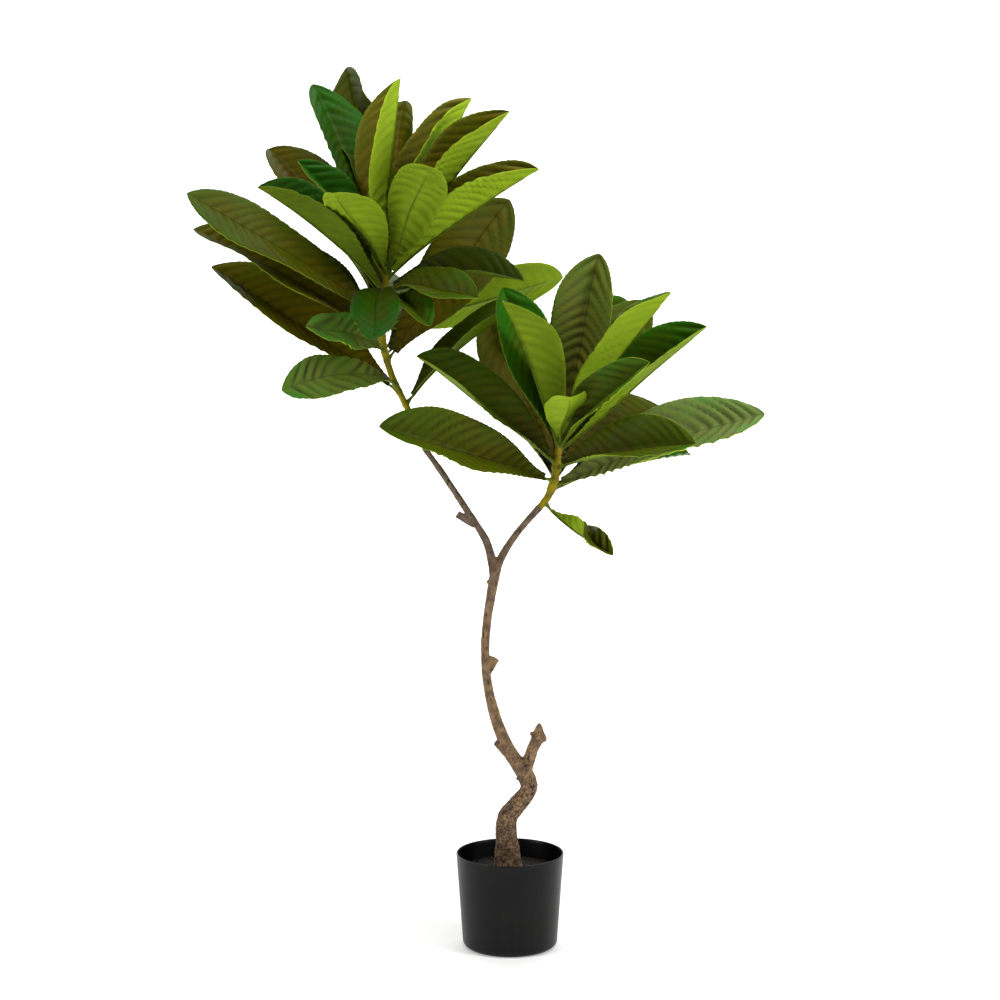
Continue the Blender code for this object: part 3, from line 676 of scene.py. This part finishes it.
def half_width(s, width):
    """Half the blade's width at share s of its length: 1 - |2u - 1|^2.3 with u = s^1.4, raised to
    a power that falls towards the tip to round it, and a blunt base that dies away."""
    u = s**WIDEST
    body = 1 - np.abs(2 * u - 1) ** ROUNDNESS
    body = body ** (1 - BLUNT_TIP * s**3)
    return 0.5 * width * (body + BLUNT_BASE * (1 - s) ** BASE_FADE)


def leaf_midrib(foot, tip, upper, bow, t):
    """A cubic curve from foot to tip that bows to the leaf's upper side: places and directions."""
    chord = tip - foot
    near = foot + MIDRIB_NEAR[0] * chord + MIDRIB_NEAR[1] * bow * upper
    far = foot + MIDRIB_FAR[0] * chord + MIDRIB_FAR[1] * bow * upper
    t = t[:, None]
    places = (1 - t) ** 3 * foot + 3 * (1 - t) ** 2 * t * near + 3 * (1 - t) * t**2 * far + t**3 * tip
    heads = (1 - t) ** 2 * (near - foot) + 2 * (1 - t) * t * (far - near) + t**2 * (tip - far)
    return places, heads


def upper_side(ahead, stem_way, lean):
    """The way the upper side faces, leaning from the side of the shoot's tip to the front."""
    grown = stem_way - ahead * (stem_way @ ahead)
    front = unit(FRONT - ahead * (FRONT @ ahead))
    edge = np.cross(ahead, front)
    edge = edge * np.sign(edge @ grown)
    lean = math.radians(lean)
    return edge * math.cos(lean) + front * math.sin(lean)


def leaf_ends(way, row):
    """Foot, tip, upper side, bow and width of a leaf from its row."""
    foot = at_height(way, row.root * CM)[:3]
    above = at_height(way, (row.root + 1) * CM)[:3]
    below = at_height(way, (row.root - 1) * CM)[:3]
    tip = np.array((row.across, row.back, row.up)) * CM
    length = np.linalg.norm(tip - foot)
    upper = upper_side((tip - foot) / length, unit(above - below), row.lean)
    return foot, tip, upper, row.bow * CM, min(WIDTH_SHARE * length, MOST_WIDTH)


def ring_faces(count, size):
    """Quads between neighbouring rings of this size, and a face over each end."""
    faces = [tuple(range(size)), tuple(range(count - 1, count - 1 - size, -1))]
    for first in range(0, count - size, size):
        for k in range(size):
            a, b = first + k, first + (k + 1) % size
            faces.append((a, a + size, b + size, b))
    return faces


def leaf_shell(way, row, margin):
    """The plain leaf that the settling works with: six-sided sections, thicker by a margin."""
    foot, tip, upper, bow, width = leaf_ends(way, row)
    start = STALK / np.linalg.norm(tip - foot)
    shares = np.array(BLADE_STATIONS)
    t = np.concatenate([np.linspace(0, 0.9 * start, STALK_RINGS), start + (1 - start) * shares])
    places, heads = leaf_midrib(foot, tip, upper, bow, t)
    corners = []
    for i, (place, head) in enumerate(zip(places, heads)):
        head = unit(head)
        up = unit(upper - head * (upper @ head))
        side = np.cross(head, up)
        if i < STALK_RINGS:
            for angle in np.radians((150, 90, 30, -30, -90, -150)):
                ray = side * math.cos(angle) + up * math.sin(angle)
                corners.append(place + (STALK_RADIUS + margin) * ray)
            continue
        share = BLADE_STATIONS[i - STALK_RINGS]
        half = max(half_width(share, width), TIP_HALF_WIDTH)
        rise = math.radians(row.fold * (1 - TIP_FLATTENED * share**4))
        thick = 0.5 * SHELL_THICKNESS + margin
        middle = up * thick / math.cos(rise)
        left = half * (up * math.sin(rise) - side * math.cos(rise))
        right = half * (up * math.sin(rise) + side * math.cos(rise))
        left_up = thick * (up * math.cos(rise) + side * math.sin(rise))
        right_up = thick * (up * math.cos(rise) - side * math.sin(rise))
        corners += [place + left + left_up, place + middle, place + right + right_up]
        corners += [place + right - right_up, place - middle, place + left - left_up]
    return [tuple(corner) for corner in corners], ring_faces(len(corners), SHELL_SIDES)


def blade_of(shell):
    """The shell beyond the rings that crowd round the shoot, as a search tree."""
    corners, faces = shell
    return BVHTree.FromPolygons(corners, [f for f in faces if min(f) >= SHELL_SIDES * CROWDED_RINGS])


def limb_tree(way, low, high):
    """A search tree of a limb between two heights (cm): level rings round its way."""
    rows = stretch(way, low * CM + GAP, high * CM)
    turns = np.linspace(0, 2 * math.pi, RING, endpoint=False)
    around = np.stack([np.cos(turns), np.sin(turns), np.zeros(RING)], axis=1)
    corners = [tuple(row[:3] + row[3] * ray) for row in rows for ray in around]
    return BVHTree.FromPolygons(corners, ring_faces(len(corners), RING))


def is_clear(shell, mass, placed):
    """Whether a leaf keeps off the other masses, and its blade off the blades of its own."""
    whole = BVHTree.FromPolygons(*shell)
    blade = blade_of(shell)
    for other, other_whole, other_blade in placed:
        if other != mass and whole.overlap(other_whole):
            return False
        if other == mass and other_blade and blade.overlap(other_blade):
            return False
    return True


def settle(way, row, mass, placed):
    """The row with the least shift of tip and roll that keeps the leaf clear, or none."""
    shifts = [(tip, roll) for tip in TIP_SHIFTS for roll in ROLL_SHIFTS]
    shifts.sort(key=lambda shift: abs(shift[0]) + abs(shift[1]) / ROLL_PER_SHIFT)
    for tip, roll in shifts:
        settled = row._replace(back=row.back + tip, lean=row.lean + roll)
        if is_clear(leaf_shell(way, settled, CLEARANCE), mass, placed):
            return settled
    return None


def back_leaves(way, count, stride, first, last, low, high, flat, steep):
    """Rows for the leaves of the hidden side, spread evenly in heading and jittered."""
    seeded = random.Random(SEED)
    rows = []
    for i in range(count):
        share = i / (count - 1)
        heading = math.radians(first + (last - first) * (i * stride % count) / (count - 1))
        rise = math.radians(flat + (steep - flat) * share)
        root = low + (high - low) * share
        foot = at_height(way, root * CM)[:3]
        reach = (BACK_REACH + BACK_JITTER * seeded.uniform(-1, 1)) * CM
        level = math.cos(rise)
        out = (level * math.cos(heading), level * math.sin(heading), math.sin(rise))
        tip = (foot + reach * np.array(out)) / CM
        twist = BACK_TWISTS[0] + BACK_TWISTS[1] * i
        looks = (BACK_OLIVES[i % 4], BACK_PALE, BACK_PLEAT, twist, BACK_TONE)
        rows.append((root, *tip, BACK_LEAN, BACK_FOLD, BACK_BOW, *looks))
    return rows


def stretches(name, way, low, bough_top, masses):
    """A bough and the stretch of shoot of each mass above it: name, way, lowest, highest."""
    limbs = [(name, way, low, bough_top)]
    for mass, high in masses:
        limbs.append((mass, way, limbs[-1][3], high))
    return limbs


def home_of(limbs, way, root):
    """The mass whose stretch of this shoot holds the root, and the root kept inside it."""
    name, _, low, high = next(limb for limb in limbs if limb[1] is way and limb[2] < root <= limb[3])
    return name, min(max(root, low + ROOT_INSET), high - ROOT_INSET)


limbs = stretches("left_bough", left_way, LEFT_PRONG_TOP, LEFT_BOUGH_TOP, LEFT_MASSES)
limbs += stretches("right_bough", right_way, RIGHT_PRONG_TOP, RIGHT_BOUGH_TOP, RIGHT_MASSES)
placed = [(name, limb_tree(way, low, high), None) for name, way, low, high in limbs]
leaves = []
for way, rows in (
    (left_way, LEFT_LEAVES),
    (right_way, RIGHT_LEAVES),
    (left_way, back_leaves(left_way, *LEFT_BACK)),
    (right_way, back_leaves(right_way, *RIGHT_BACK)),
):
    for row in rows:
        mass, root = home_of(limbs, way, row[0])
        settled = settle(way, Leaf(root, *row[1:]), mass, placed)
        if settled is not None:
            shell = leaf_shell(way, settled, 0.0)
            placed.append((mass, BVHTree.FromPolygons(*shell), blade_of(shell)))
            leaves.append((mass, way, settled))

# THE LEAVES
# Blades cut from coated cloth and pressed hot: folded along the midrib, pleated between the side
# veins, with a finely scalloped edge, glossy above and matt below. Each is 0.7 mm thick, and begins
# nearer to the shoot than the plain leaf that was settled.

CLOTH = 0.7 * MM
ALONG = 150
ACROSS = 8
BARE_STALK = 17 * MM
TWIST_FROM = 0.42
TWIST_OVER = 0.33
PLEAT_PITCH = 17 * MM
PLEAT_HEIGHT = 3.0 * MM
PLEAT_DRIFT = 0.35
PLEAT_SLANT = 0.7
SCALLOP_PITCH = 7.5 * MM
SCALLOP = 0.9 * MM
CAMBER = 0.20
FOLD_EASED = 0.2
WAVE = 2.2 * MM
WAVE_RATES = (1.3, 2.4)
SWAY = 2.5 * MM
# Pleats, waves and scallops are in full where half the blade is this wide.
FULL_PLEAT = 20 * MM
FULL_SCALLOP = 12 * MM
# A leaf's lightness varies at random by this; then the upper side's colours by share of olive and the
# grey of its painted sheen, and for each side the least, the most and the colour of the painted shade
# beside the side veins, and its marks with their strengths and colours, the rim's a painted highlight.
TONE_SPREAD = (0.94, 1.06)
EMERALD_TO_OLIVE = (
    (0.0, (0.018, 0.110, 0.001, 1)),
    (0.3, (0.050, 0.086, 0.001, 1)),
    (0.65, (0.075, 0.082, 0.001, 1)),
    (1.0, (0.130, 0.096, 0.001, 1)),
)
# The grey of the painted sheen on the lightest leaves.
SHEEN_GREY = (0.085, 0.095, 0.050, 1)
# Painted shade in the creases beside the side veins of the upper side.
UPPER_CREASE_SHADE = (0.10, 0.50, (0.016, 0.024, 0.001, 1))
UPPER_MARKS = (
    ("Veins", 0.28, (0.006, 0.010, 0.0006, 1)),
    ("Midrib", 0.6, (0.012, 0.018, 0.001, 1)),
    # A painted highlight along the rim of the upper side.
    ("Rim highlight", 0.7, (0.12, 0.15, 0.012, 1)),
)
UNDER_DEEP = (0.095, 0.160, 0.0030, 1)
UNDER_PALE = (0.235, 0.345, 0.014, 1)
# Painted shade in the creases beside the side veins of the underside.
UNDER_CREASE_SHADE = (0.15, 0.60, (0.075, 0.115, 0.002, 1))
UNDER_MARKS = (
    ("Veins", 0.2, (0.26, 0.36, 0.02, 1)),
    # A painted highlight along the rim of the underside.
    ("Rim highlight", 0.5, (0.29, 0.38, 0.03, 1)),
)


def dice_of(row):
    """The leaf's own random numbers, which its blade and its stalk draw alike."""
    return np.random.default_rng(int(abs(row.across) * 100 + row.root * 10))


def swing(turns):
    """sin(2 pi turns)."""
    return np.sin(2 * math.pi * turns)


def leaf_frame(way, row, shares, seeded):
    """Midrib places, directions, upper and side ways at shares of the blade's length. The twist
    eases in by 3u^2 - 2u^3, and the midrib sways to the side by sin(2 pi u) times 4s(1 - s)."""
    foot, tip, upper, bow, width = leaf_ends(way, row)
    start = BARE_STALK / np.linalg.norm(tip - foot)
    places, heads = leaf_midrib(foot, tip, upper, bow, start + (1 - start) * shares)
    heads = unit(heads)
    up = unit(upper - heads * (heads @ upper)[:, None])
    side = np.cross(heads, up)
    eased = np.clip((shares - TWIST_FROM) / TWIST_OVER, 0, 1)
    turn = np.radians(row.twist * (eased**2 * (3 - 2 * eased) - 0.5))[:, None]
    up, side = up * np.cos(turn) + side * np.sin(turn), side * np.cos(turn) - up * np.sin(turn)
    sway = SWAY * swing(0.9 * shares + seeded.uniform()) * shares * (1 - shares) * 4
    return places + side * sway[:, None], heads, up, side, width


def blade_surface(way, row, seeded):
    """The blade's middle surface on a grid of length by width. At share s and signed share t across:
    w = |t| half width, with scallops at the edge; out = w cos(fold), up = w sin(fold) + camber
    w (1 - |t|) + pleats |sin(pi p)| where p = (length + slant w) / pitch, unevenly spaced and deep,
    + a slow wave that grows with t^2."""
    s = np.linspace(0, 1, ALONG + 1)
    s = np.concatenate([s[:-1], 1 - (1 - s[-2]) * np.array((0.6, 0.3, 0.1, 0.0))])
    places, heads, up, side, width = leaf_frame(way, row, s, seeded)
    length = np.concatenate([[0], np.cumsum(np.linalg.norm(np.diff(places, axis=0), axis=1))])
    t = np.linspace(-1, 1, 2 * ACROSS + 1)[None, :]
    half = np.maximum(half_width(s, width), 0.3 * MM)
    teeth = np.abs(np.sin(math.pi * length / SCALLOP_PITCH)) ** 0.7 - 0.6
    half = (half + SCALLOP * teeth * np.clip(half / FULL_SCALLOP, 0, 1))[:, None]
    w = np.abs(t) * half
    fold = np.radians(row.fold * (1 - FOLD_EASED * s**4))[:, None]
    rate, start, other, shift = seeded.uniform(*WAVE_RATES), *seeded.uniform(size=3)
    uneven = PLEAT_DRIFT * swing(1.6 * s + other)[:, None]
    phase = (length[:, None] + PLEAT_SLANT * w + 0.25 * w * np.abs(t)) / PLEAT_PITCH + uneven + shift
    body = np.clip(half / FULL_PLEAT, 0, 1)
    pleat = (np.abs(np.sin(math.pi * phase)) ** 0.8 - 0.6) * np.sin(math.pi * np.abs(t) ** 0.75 * 0.86)
    strong = 1 + 0.5 * np.sin(2 * math.pi * (2.3 * s[:, None] + start) + np.where(t < 0, 0, 2.0))
    pleats = PLEAT_HEIGHT * row.pleat * body * pleat * strong
    waves = WAVE * body * t**2 * swing(rate * s[:, None] + np.where(t < 0, start, other))
    rise = w * np.sin(fold) + CAMBER * w * (1 - np.abs(t)) + pleats + waves
    out = np.sign(t) * (w * np.cos(fold) - pleats * np.sin(fold))
    surface = places[:, None] + side[:, None] * out[..., None] + up[:, None] * rise[..., None]
    marks = np.stack([phase, 0.5 + 0.5 * t + 0 * phase], axis=-1)
    return surface, marks, np.stack([s[:, None] + 0 * phase, np.abs(t) + 0 * phase], axis=-1)


def leaf_mesh(surface):
    """A closed sheet round a middle surface: both faces half the cloth's thickness away along the
    normal, and a rim of quads. The first quads are the upper side, the rest the underside and rim."""
    rows, columns = surface.shape[:2]
    ahead, across = np.gradient(surface, axis=0), np.gradient(surface, axis=1)
    normal = unit(np.cross(across, ahead) + 1e-12)
    thick = 0.5 * CLOTH * normal
    points = np.concatenate([(surface + thick).reshape(-1, 3), (surface - thick).reshape(-1, 3)])
    index = np.arange(rows * columns).reshape(rows, columns)
    a, b, c, d = index[:-1, :-1], index[:-1, 1:], index[1:, 1:], index[1:, :-1]
    top = np.stack([a, b, c, d], axis=-1).reshape(-1, 4)
    under = np.stack([a, d, c, b], axis=-1).reshape(-1, 4) + rows * columns
    rim = np.concatenate([index[0], index[1:, -1], index[-1, -2::-1], index[-2:0:-1, 0]])
    after = np.roll(rim, -1)
    edge = np.stack([rim, rim + rows * columns, after + rows * columns, after], axis=1)
    return points, top, np.vstack([under, edge])


def rib_group():
    """Marks that follow a blade: vein lines at whole pleats, the painted shade beside them, the midrib,
    and the rim where a highlight is painted, each 0 to 1. It reads the map 'blade': pleats counted along,
    and width 0 to 1 across."""
    names = ("Veins", "Crease shade", "Midrib", "Rim highlight")
    group, widths, results = new_group("leaf_ribs", ("Vein width",), names)
    uv = add_node(group, "ShaderNodeUVMap", uv_map="blade").outputs[0]
    along = add_node(group, "ShaderNodeSeparateXYZ", {0: uv}).outputs
    centred = maths(group, "ABSOLUTE", maths(group, "SUBTRACT", along["Y"], 0.5))
    near = maths(group, "PINGPONG", along["X"], 0.5)
    fade = scale_of(group, centred, 0.40, 0.5, 1.0, 0.0)
    marks = (
        times(group, scale_of(group, near, 0.0, widths[0], 1.0, 0.0), fade),
        # Mask of the painted shade beside the side veins.
        times(group, scale_of(group, near, 0.0, 0.4, 1.0, 0.0), fade),
        scale_of(group, centred, 0.006, 0.02, 1.0, 0.0),
        # Mask of the painted highlight along the rim.
        scale_of(group, centred, 0.485, 0.497),
    )
    for name, mark in zip(names, marks):
        group.links.new(mark, results[name])
    return group


RIBS = rib_group()


def add_ribs(tree, vein_width):
    """The marks' group with veins this wide: outputs the vein lines, the painted shade beside them, the
    midrib, and the rim where a highlight is painted.
    """
    return add_node(tree, "ShaderNodeGroup", {"Vein width": vein_width}, node_tree=RIBS).outputs


def crease_shaded_and_marked(tree, face, grain, ribs, crease_shade, marks):
    """The face's colour with painted shade in patches beside the side veins where the pleats are deep, and
    then each mark in its own strength and colour, one of them a painted highlight along the rim."""
    least, most, shade = crease_shade
    patches = scale_of(tree, grain["Cloud"], 0.35, 0.65, least, most)
    patches = times(tree, attribute_of(tree, "pleat"), patches)
    # Painted shade in the creases beside the side veins, darker where the pleats are deep.
    face = mix_colours(tree, times(tree, ribs["Crease shade"], patches), face, shade)
    for name, strength, colour in marks:
        face = mix_colours(tree, times(tree, ribs[name], strength), face, colour)
    return face


def toned_with_base_shade(tree, face, grain, spread, base, base_length):
    """The colour times the leaf's own lightness, speckled, and darkened over the base of the blade as
    painted shade.
    """
    speckle = scale_of(tree, grain["Speckle"], 0.3, 0.7, 1 - spread, 1 + spread)
    # Painted shade: the blade darkens towards its base.
    painted_shade = scale_of(tree, attribute_of(tree, "along"), 0.0, base_length, base, 1.0)
    return dimmed(tree, face, times(tree, times(tree, speckle, painted_shade), attribute_of(tree, "tone")))


def coated_upper():
    """The glossy upper side: emerald to olive brown by leaf, browner at the middle of its base and
    greener at its rim and tip, mottled, with a painted grey sheen on the lightest leaves, dark side veins,
    painted shade beside them and over the base, and a painted highlight along the rim."""
    material, tree = new_material("leaf_upper")
    grain = add_grain(tree, 36.0, 1300.0)
    ribs = add_ribs(tree, 0.05)
    mottle = scale_of(tree, grain["Cloud"], 0.3, 0.7, -0.16, 0.16)
    drift = maths(tree, "ADD", attribute_of(tree, "olive"), mottle)
    for name, start, low, high in (("along", 0.1, 0.18, -0.18), ("across", 0.2, 0.06, -0.12)):
        drift = maths(tree, "ADD", drift, scale_of(tree, attribute_of(tree, name), start, 1.0, low, high))
    ramp = add_node(tree, "ShaderNodeValToRGB", {"Fac": drift})
    stops = ramp.color_ramp.elements
    for place, _ in EMERALD_TO_OLIVE[1:-1]:
        stops.new(place)
    for stop, (place, colour) in zip(stops, EMERALD_TO_OLIVE):
        stop.position = place
        stop.color = colour
    face = crease_shaded_and_marked(tree, ramp.outputs["Color"], grain, ribs, UPPER_CREASE_SHADE, UPPER_MARKS)
    # A painted grey sheen on the lightest leaves, standing in for their gloss.
    painted_sheen = scale_of(tree, attribute_of(tree, "tone"), 1.2, 3.0, 0.0, 0.45)
    colour = toned_with_base_shade(tree, mix_colours(tree, painted_sheen, face, SHEEN_GREY), grain, 0.18, 0.62, 0.35)
    roughness = scale_of(tree, grain["Cloud"], 0.3, 0.7, 0.42, 0.56)
    height = maths(tree, "SUBTRACT", grain["Speckle"], ribs["Veins"])
    dress(tree, colour, roughness, height, 0.30, 0.25 * MM, specular=0.07)
    return material


def matt_under():
    """The matt underside: yellow green, with painted shade beside the side veins and over the base, a
    painted highlight along the rim, and a soft cloth grain.
    """
    material, tree = new_material("leaf_under")
    grain = add_grain(tree, 30.0, 1100.0)
    ribs = add_ribs(tree, 0.06)
    mottle = scale_of(tree, grain["Cloud"], 0.3, 0.7, -0.2, 0.2)
    pale = scale_of(tree, maths(tree, "ADD", attribute_of(tree, "pale"), mottle), 0.0, 1.0)
    face = mix_colours(tree, pale, UNDER_DEEP, UNDER_PALE)
    face = crease_shaded_and_marked(tree, face, grain, ribs, UNDER_CREASE_SHADE, UNDER_MARKS)
    colour = toned_with_base_shade(tree, face, grain, 0.12, 0.60, 0.4)
    roughness = scale_of(tree, grain["Cloud"], 0.3, 0.7, 0.52, 0.66)
    height = maths(tree, "ADD", grain["Speckle"], ribs["Veins"])
    dress(tree, colour, roughness, height, 0.25, 0.25 * MM, specular=0.05)
    return material


UPPER = coated_upper()
UNDER = matt_under()
for name, _ in LEFT_MASSES + RIGHT_MASSES:
    points, tops, backs, maps, kinds, start = [], [], [], [], [], 0
    for way, row in [(way, row) for mass, way, row in leaves if mass == name]:
        seeded = dice_of(row)
        surface, marks, shares = blade_surface(way, row, seeded)
        corners, top, back = leaf_mesh(surface)
        points.append(corners)
        tops.append(top + start)
        backs.append(back + start)
        maps.append(np.tile(marks.reshape(-1, 2), (2, 1)))
        looks = (row.olive, row.pale, row.pleat, row.tone * seeded.uniform(*TONE_SPREAD))
        kinds.append(np.hstack([np.tile(looks, (len(corners), 1)), np.tile(shares.reshape(-1, 2), (2, 1))]))
        start += len(corners)
    faces = np.vstack(tops + backs)
    blades = add_piece(name.replace("leaves", "blades"), np.vstack(points), faces.tolist(), [UPPER, UNDER])
    upper_count = sum(len(top) for top in tops)
    indices = np.zeros(len(faces), dtype=np.int32)
    indices[upper_count:] = 1
    blades.data.polygons.foreach_set("material_index", indices)
    uv = blades.data.uv_layers.new(name="blade")
    uv.data.foreach_set("uv", np.vstack(maps)[faces.ravel()].astype(np.float32).ravel())
    for column, attribute in enumerate(("olive", "pale", "pleat", "tone", "along", "across")):
        mark_points(blades.data, attribute, np.vstack(kinds)[:, column])
    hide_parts(name)

# THE SHOOTS AND STALKS
# Green plastic moulded over wire: each shoot goes on from its bough, and each leaf's stalk leaves it
# at a low swelling and runs on under the blade as its raised midrib, tapering to nothing.

STALK_SIDES = 10
SHOOT_SIDES = 16
SHOOT_RINGS = 160
SWELLING = 2.2 * MM
SHOOT_TIP = (0.95, 0.8, 0.55, 0.2)
STEM_SHARES = (0, 0.35, 0.6, 0.8, 0.96)
STEM_RADII = np.array((4.4, 3.3, 2.2, 1.9, 1.8)) * MM
MIDRIB_REACH = 0.9
MIDRIB_RADIUS = 1.3 * MM
MIDRIB_END = 0.35 * MM
GOLDEN = ((0.33, 0.255, 0.003, 1), (0.15, 0.135, 0.004, 1))
STALK_GREEN = ((0.130, 0.180, 0.008, 1), (0.085, 0.120, 0.004, 1))


def shoot_bar(way, low, high, roots):
    """The shoot as a round bar with a swelling exp(-(d / 2.2 mm)^2) at each leaf's root."""
    up = np.linspace(low * CM - 2 * MM, high * CM, SHOOT_RINGS)
    rows = np.stack([at_height(way, h) for h in up])
    swelling = sum(np.exp(-(((up - root * CM) / SWELLING) ** 2)) for root in roots)
    radii = rows[:, 3] * (0.92 + 0.16 * np.minimum(swelling, 1.5))
    radii[-len(SHOOT_TIP) :] *= SHOOT_TIP
    return swept(rows[:, :3], radii, BAR_ACROSS, SHOOT_SIDES)


def stalk_bar(way, row):
    """A leaf's stalk from the shoot's core to the blade, then its midrib against the underside."""
    foot, tip, upper, bow, _ = leaf_ends(way, row)
    start = BARE_STALK / np.linalg.norm(tip - foot)
    free = np.linspace(0, STEM_SHARES[-1] * start, 14)
    stem, _ = leaf_midrib(foot, tip, upper, bow, free)
    shares = np.linspace(0, MIDRIB_REACH, 40)
    under, _, up, side, _ = leaf_frame(way, row, shares, dice_of(row))
    under_radii = MIDRIB_RADIUS * (1 - shares / MIDRIB_REACH) + MIDRIB_END
    under = under - up * (0.55 * under_radii + 0.3 * MM)[:, None]
    blend = np.linspace(0, 1, len(free))[:, None] ** 2
    stem = stem + blend * (under[0] - stem[-1]) * 0.6
    radii = np.concatenate([np.interp(free / start, STEM_SHARES, STEM_RADII), under_radii])
    across = np.vstack([np.tile(side[0], (len(free), 1)), side])
    return swept(np.vstack([stem, under]), radii, across, STALK_SIDES)


def green_plastic():
    """Plastic, golden and mottled on the shoots and greener along the leaves' stalks and midribs."""
    material, tree = new_material("green_stalk")
    grain = add_grain(tree, 60.0, 1200.0)
    mottle = scale_of(tree, grain["Cloud"], 0.38, 0.62)
    green = mix_colours(tree, mottle, *STALK_GREEN)
    colour = mix_colours(tree, attribute_of(tree, "shoot"), green, mix_colours(tree, mottle, *GOLDEN))
    colour = dimmed(tree, colour, scale_of(tree, grain["Speckle"], 0.3, 0.7, 0.85, 1.15))
    roughness = scale_of(tree, grain["Cloud"], 0.3, 0.7, 0.42, 0.58)
    dress(tree, colour, roughness, grain["Speckle"], 0.3, 0.3 * MM, specular=0.15)
    return material


STALK_PLASTIC = green_plastic()
for side_name, way, low, masses in (
    ("left", left_way, LEFT_BOUGH_TOP, LEFT_MASSES),
    ("right", right_way, RIGHT_BOUGH_TOP, RIGHT_MASSES),
):
    rows = [row for mass, own_way, row in leaves if own_way is way]
    parts = [shoot_bar(way, low, masses[-1][1], [row.root for row in rows])]
    parts += [stalk_bar(way, row) for row in rows]
    stalks = add_piece(side_name + "_shoot_stalks", *joined(parts), [STALK_PLASTIC])
    mark_points(stalks.data, "shoot", np.arange(len(stalks.data.vertices)) < len(parts[0][0]))

# THE STUDIO
# A pale paper sweep under soft boxes, and the camera at the photograph's height and angle.

SWEEP_WIDTH = 16.0
SWEEP_FRONT = 9.0
SWEEP_BACK = 5.6
SWEEP_HEIGHT = 7.0
SWEEP_BEND = 1.2
PAPER_GLOW = 0.26
WORLD_LIGHT = 0.06


def paper_sweep():
    """A floor that curves up into a wall: a profile of depth and height carried across, and quads."""
    bend = np.radians(np.linspace(-90, 0, 24))
    curve = SWEEP_BACK - SWEEP_BEND + SWEEP_BEND * np.cos(bend)
    depth = np.concatenate([[-SWEEP_FRONT], curve, [SWEEP_BACK]])
    height = np.concatenate([[0.0], SWEEP_BEND + SWEEP_BEND * np.sin(bend), [SWEEP_HEIGHT]])
    across = np.linspace(-SWEEP_WIDTH / 2, SWEEP_WIDTH / 2, 3)
    rows = [np.stack([0 * depth + x, depth, height], axis=1) for x in across]
    count = len(depth)
    i = np.arange(2)[:, None] * count + np.arange(count - 1)[None, :]
    return np.vstack(rows), np.stack([i, i + count, i + count + 1, i + 1], axis=-1).reshape(-1, 4)


sweep_points, sweep_faces = paper_sweep()
sweep_mesh = bpy.data.meshes.new("paper_sweep")
sweep_mesh.from_pydata(sweep_points, [], sweep_faces.tolist())
sweep_mesh.shade_smooth()
paper, paper_tree = new_material("white_paper")
paper_values = {
    "Base Color": (0.93, 0.93, 0.93, 1),
    "Roughness": 0.9,
    "Specular IOR Level": 0.1,
    "Emission Color": (1, 1, 1, 1),
    "Emission Strength": PAPER_GLOW,
}
for key, value in paper_values.items():
    paper_tree.nodes["Principled BSDF"].inputs[key].default_value = value
sweep_mesh.materials.append(paper)
sweep = bpy.data.objects.new("paper_sweep", sweep_mesh)
bpy.context.scene.collection.objects.link(sweep)


def soft_box(name, place, aim, size, power):
    """An area light of this width and height that looks at a point."""
    light = bpy.data.lights.new(name, "AREA")
    light.shape = "RECTANGLE"
    light.size, light.size_y = size
    light.energy = power
    box = bpy.data.objects.new(name, light)
    towards = np.array(aim, dtype=float) - place
    yaw = math.atan2(towards[1], towards[0]) - math.pi / 2
    pitch = math.atan2(towards[2], math.hypot(towards[0], towards[1])) + math.pi / 2
    box.location = place
    box.rotation_euler = (pitch, 0, yaw)
    bpy.context.scene.collection.objects.link(box)


soft_box("left_box", (-2.4, -1.2, 1.5), (0, 0, 0.7), (0.9, 2.2), 33)
soft_box("right_box", (2.4, -1.3, 1.8), (0, 0, 0.7), (0.9, 2.0), 50)
soft_box("top_box", (0.1, -0.3, 3.0), (0, 0, 0.5), (1.8, 1.8), 48)
soft_box("back_box", (0, 3.2, 3.6), (0, 5.2, 0.3), (7.0, 1.2), 300)
world = bpy.data.worlds.new("studio")
world.use_nodes = True
background = world.node_tree.nodes["Background"].inputs
background["Color"].default_value = (1, 1, 1, 1)
background["Strength"].default_value = WORLD_LIGHT
bpy.context.scene.world = world

lens = bpy.data.cameras.new("camera")
lens.sensor_width = 36
lens.lens = 95.94
lens.clip_end = 50
camera = bpy.data.objects.new("camera", lens)
camera.location = (-0.0135, -3.5, 1.10)
camera.rotation_euler = (math.radians(82.02), 0, 0)
bpy.context.scene.collection.objects.link(camera)
bpy.context.scene.camera = camera
bpy.context.scene.view_settings.view_transform = "Standard"
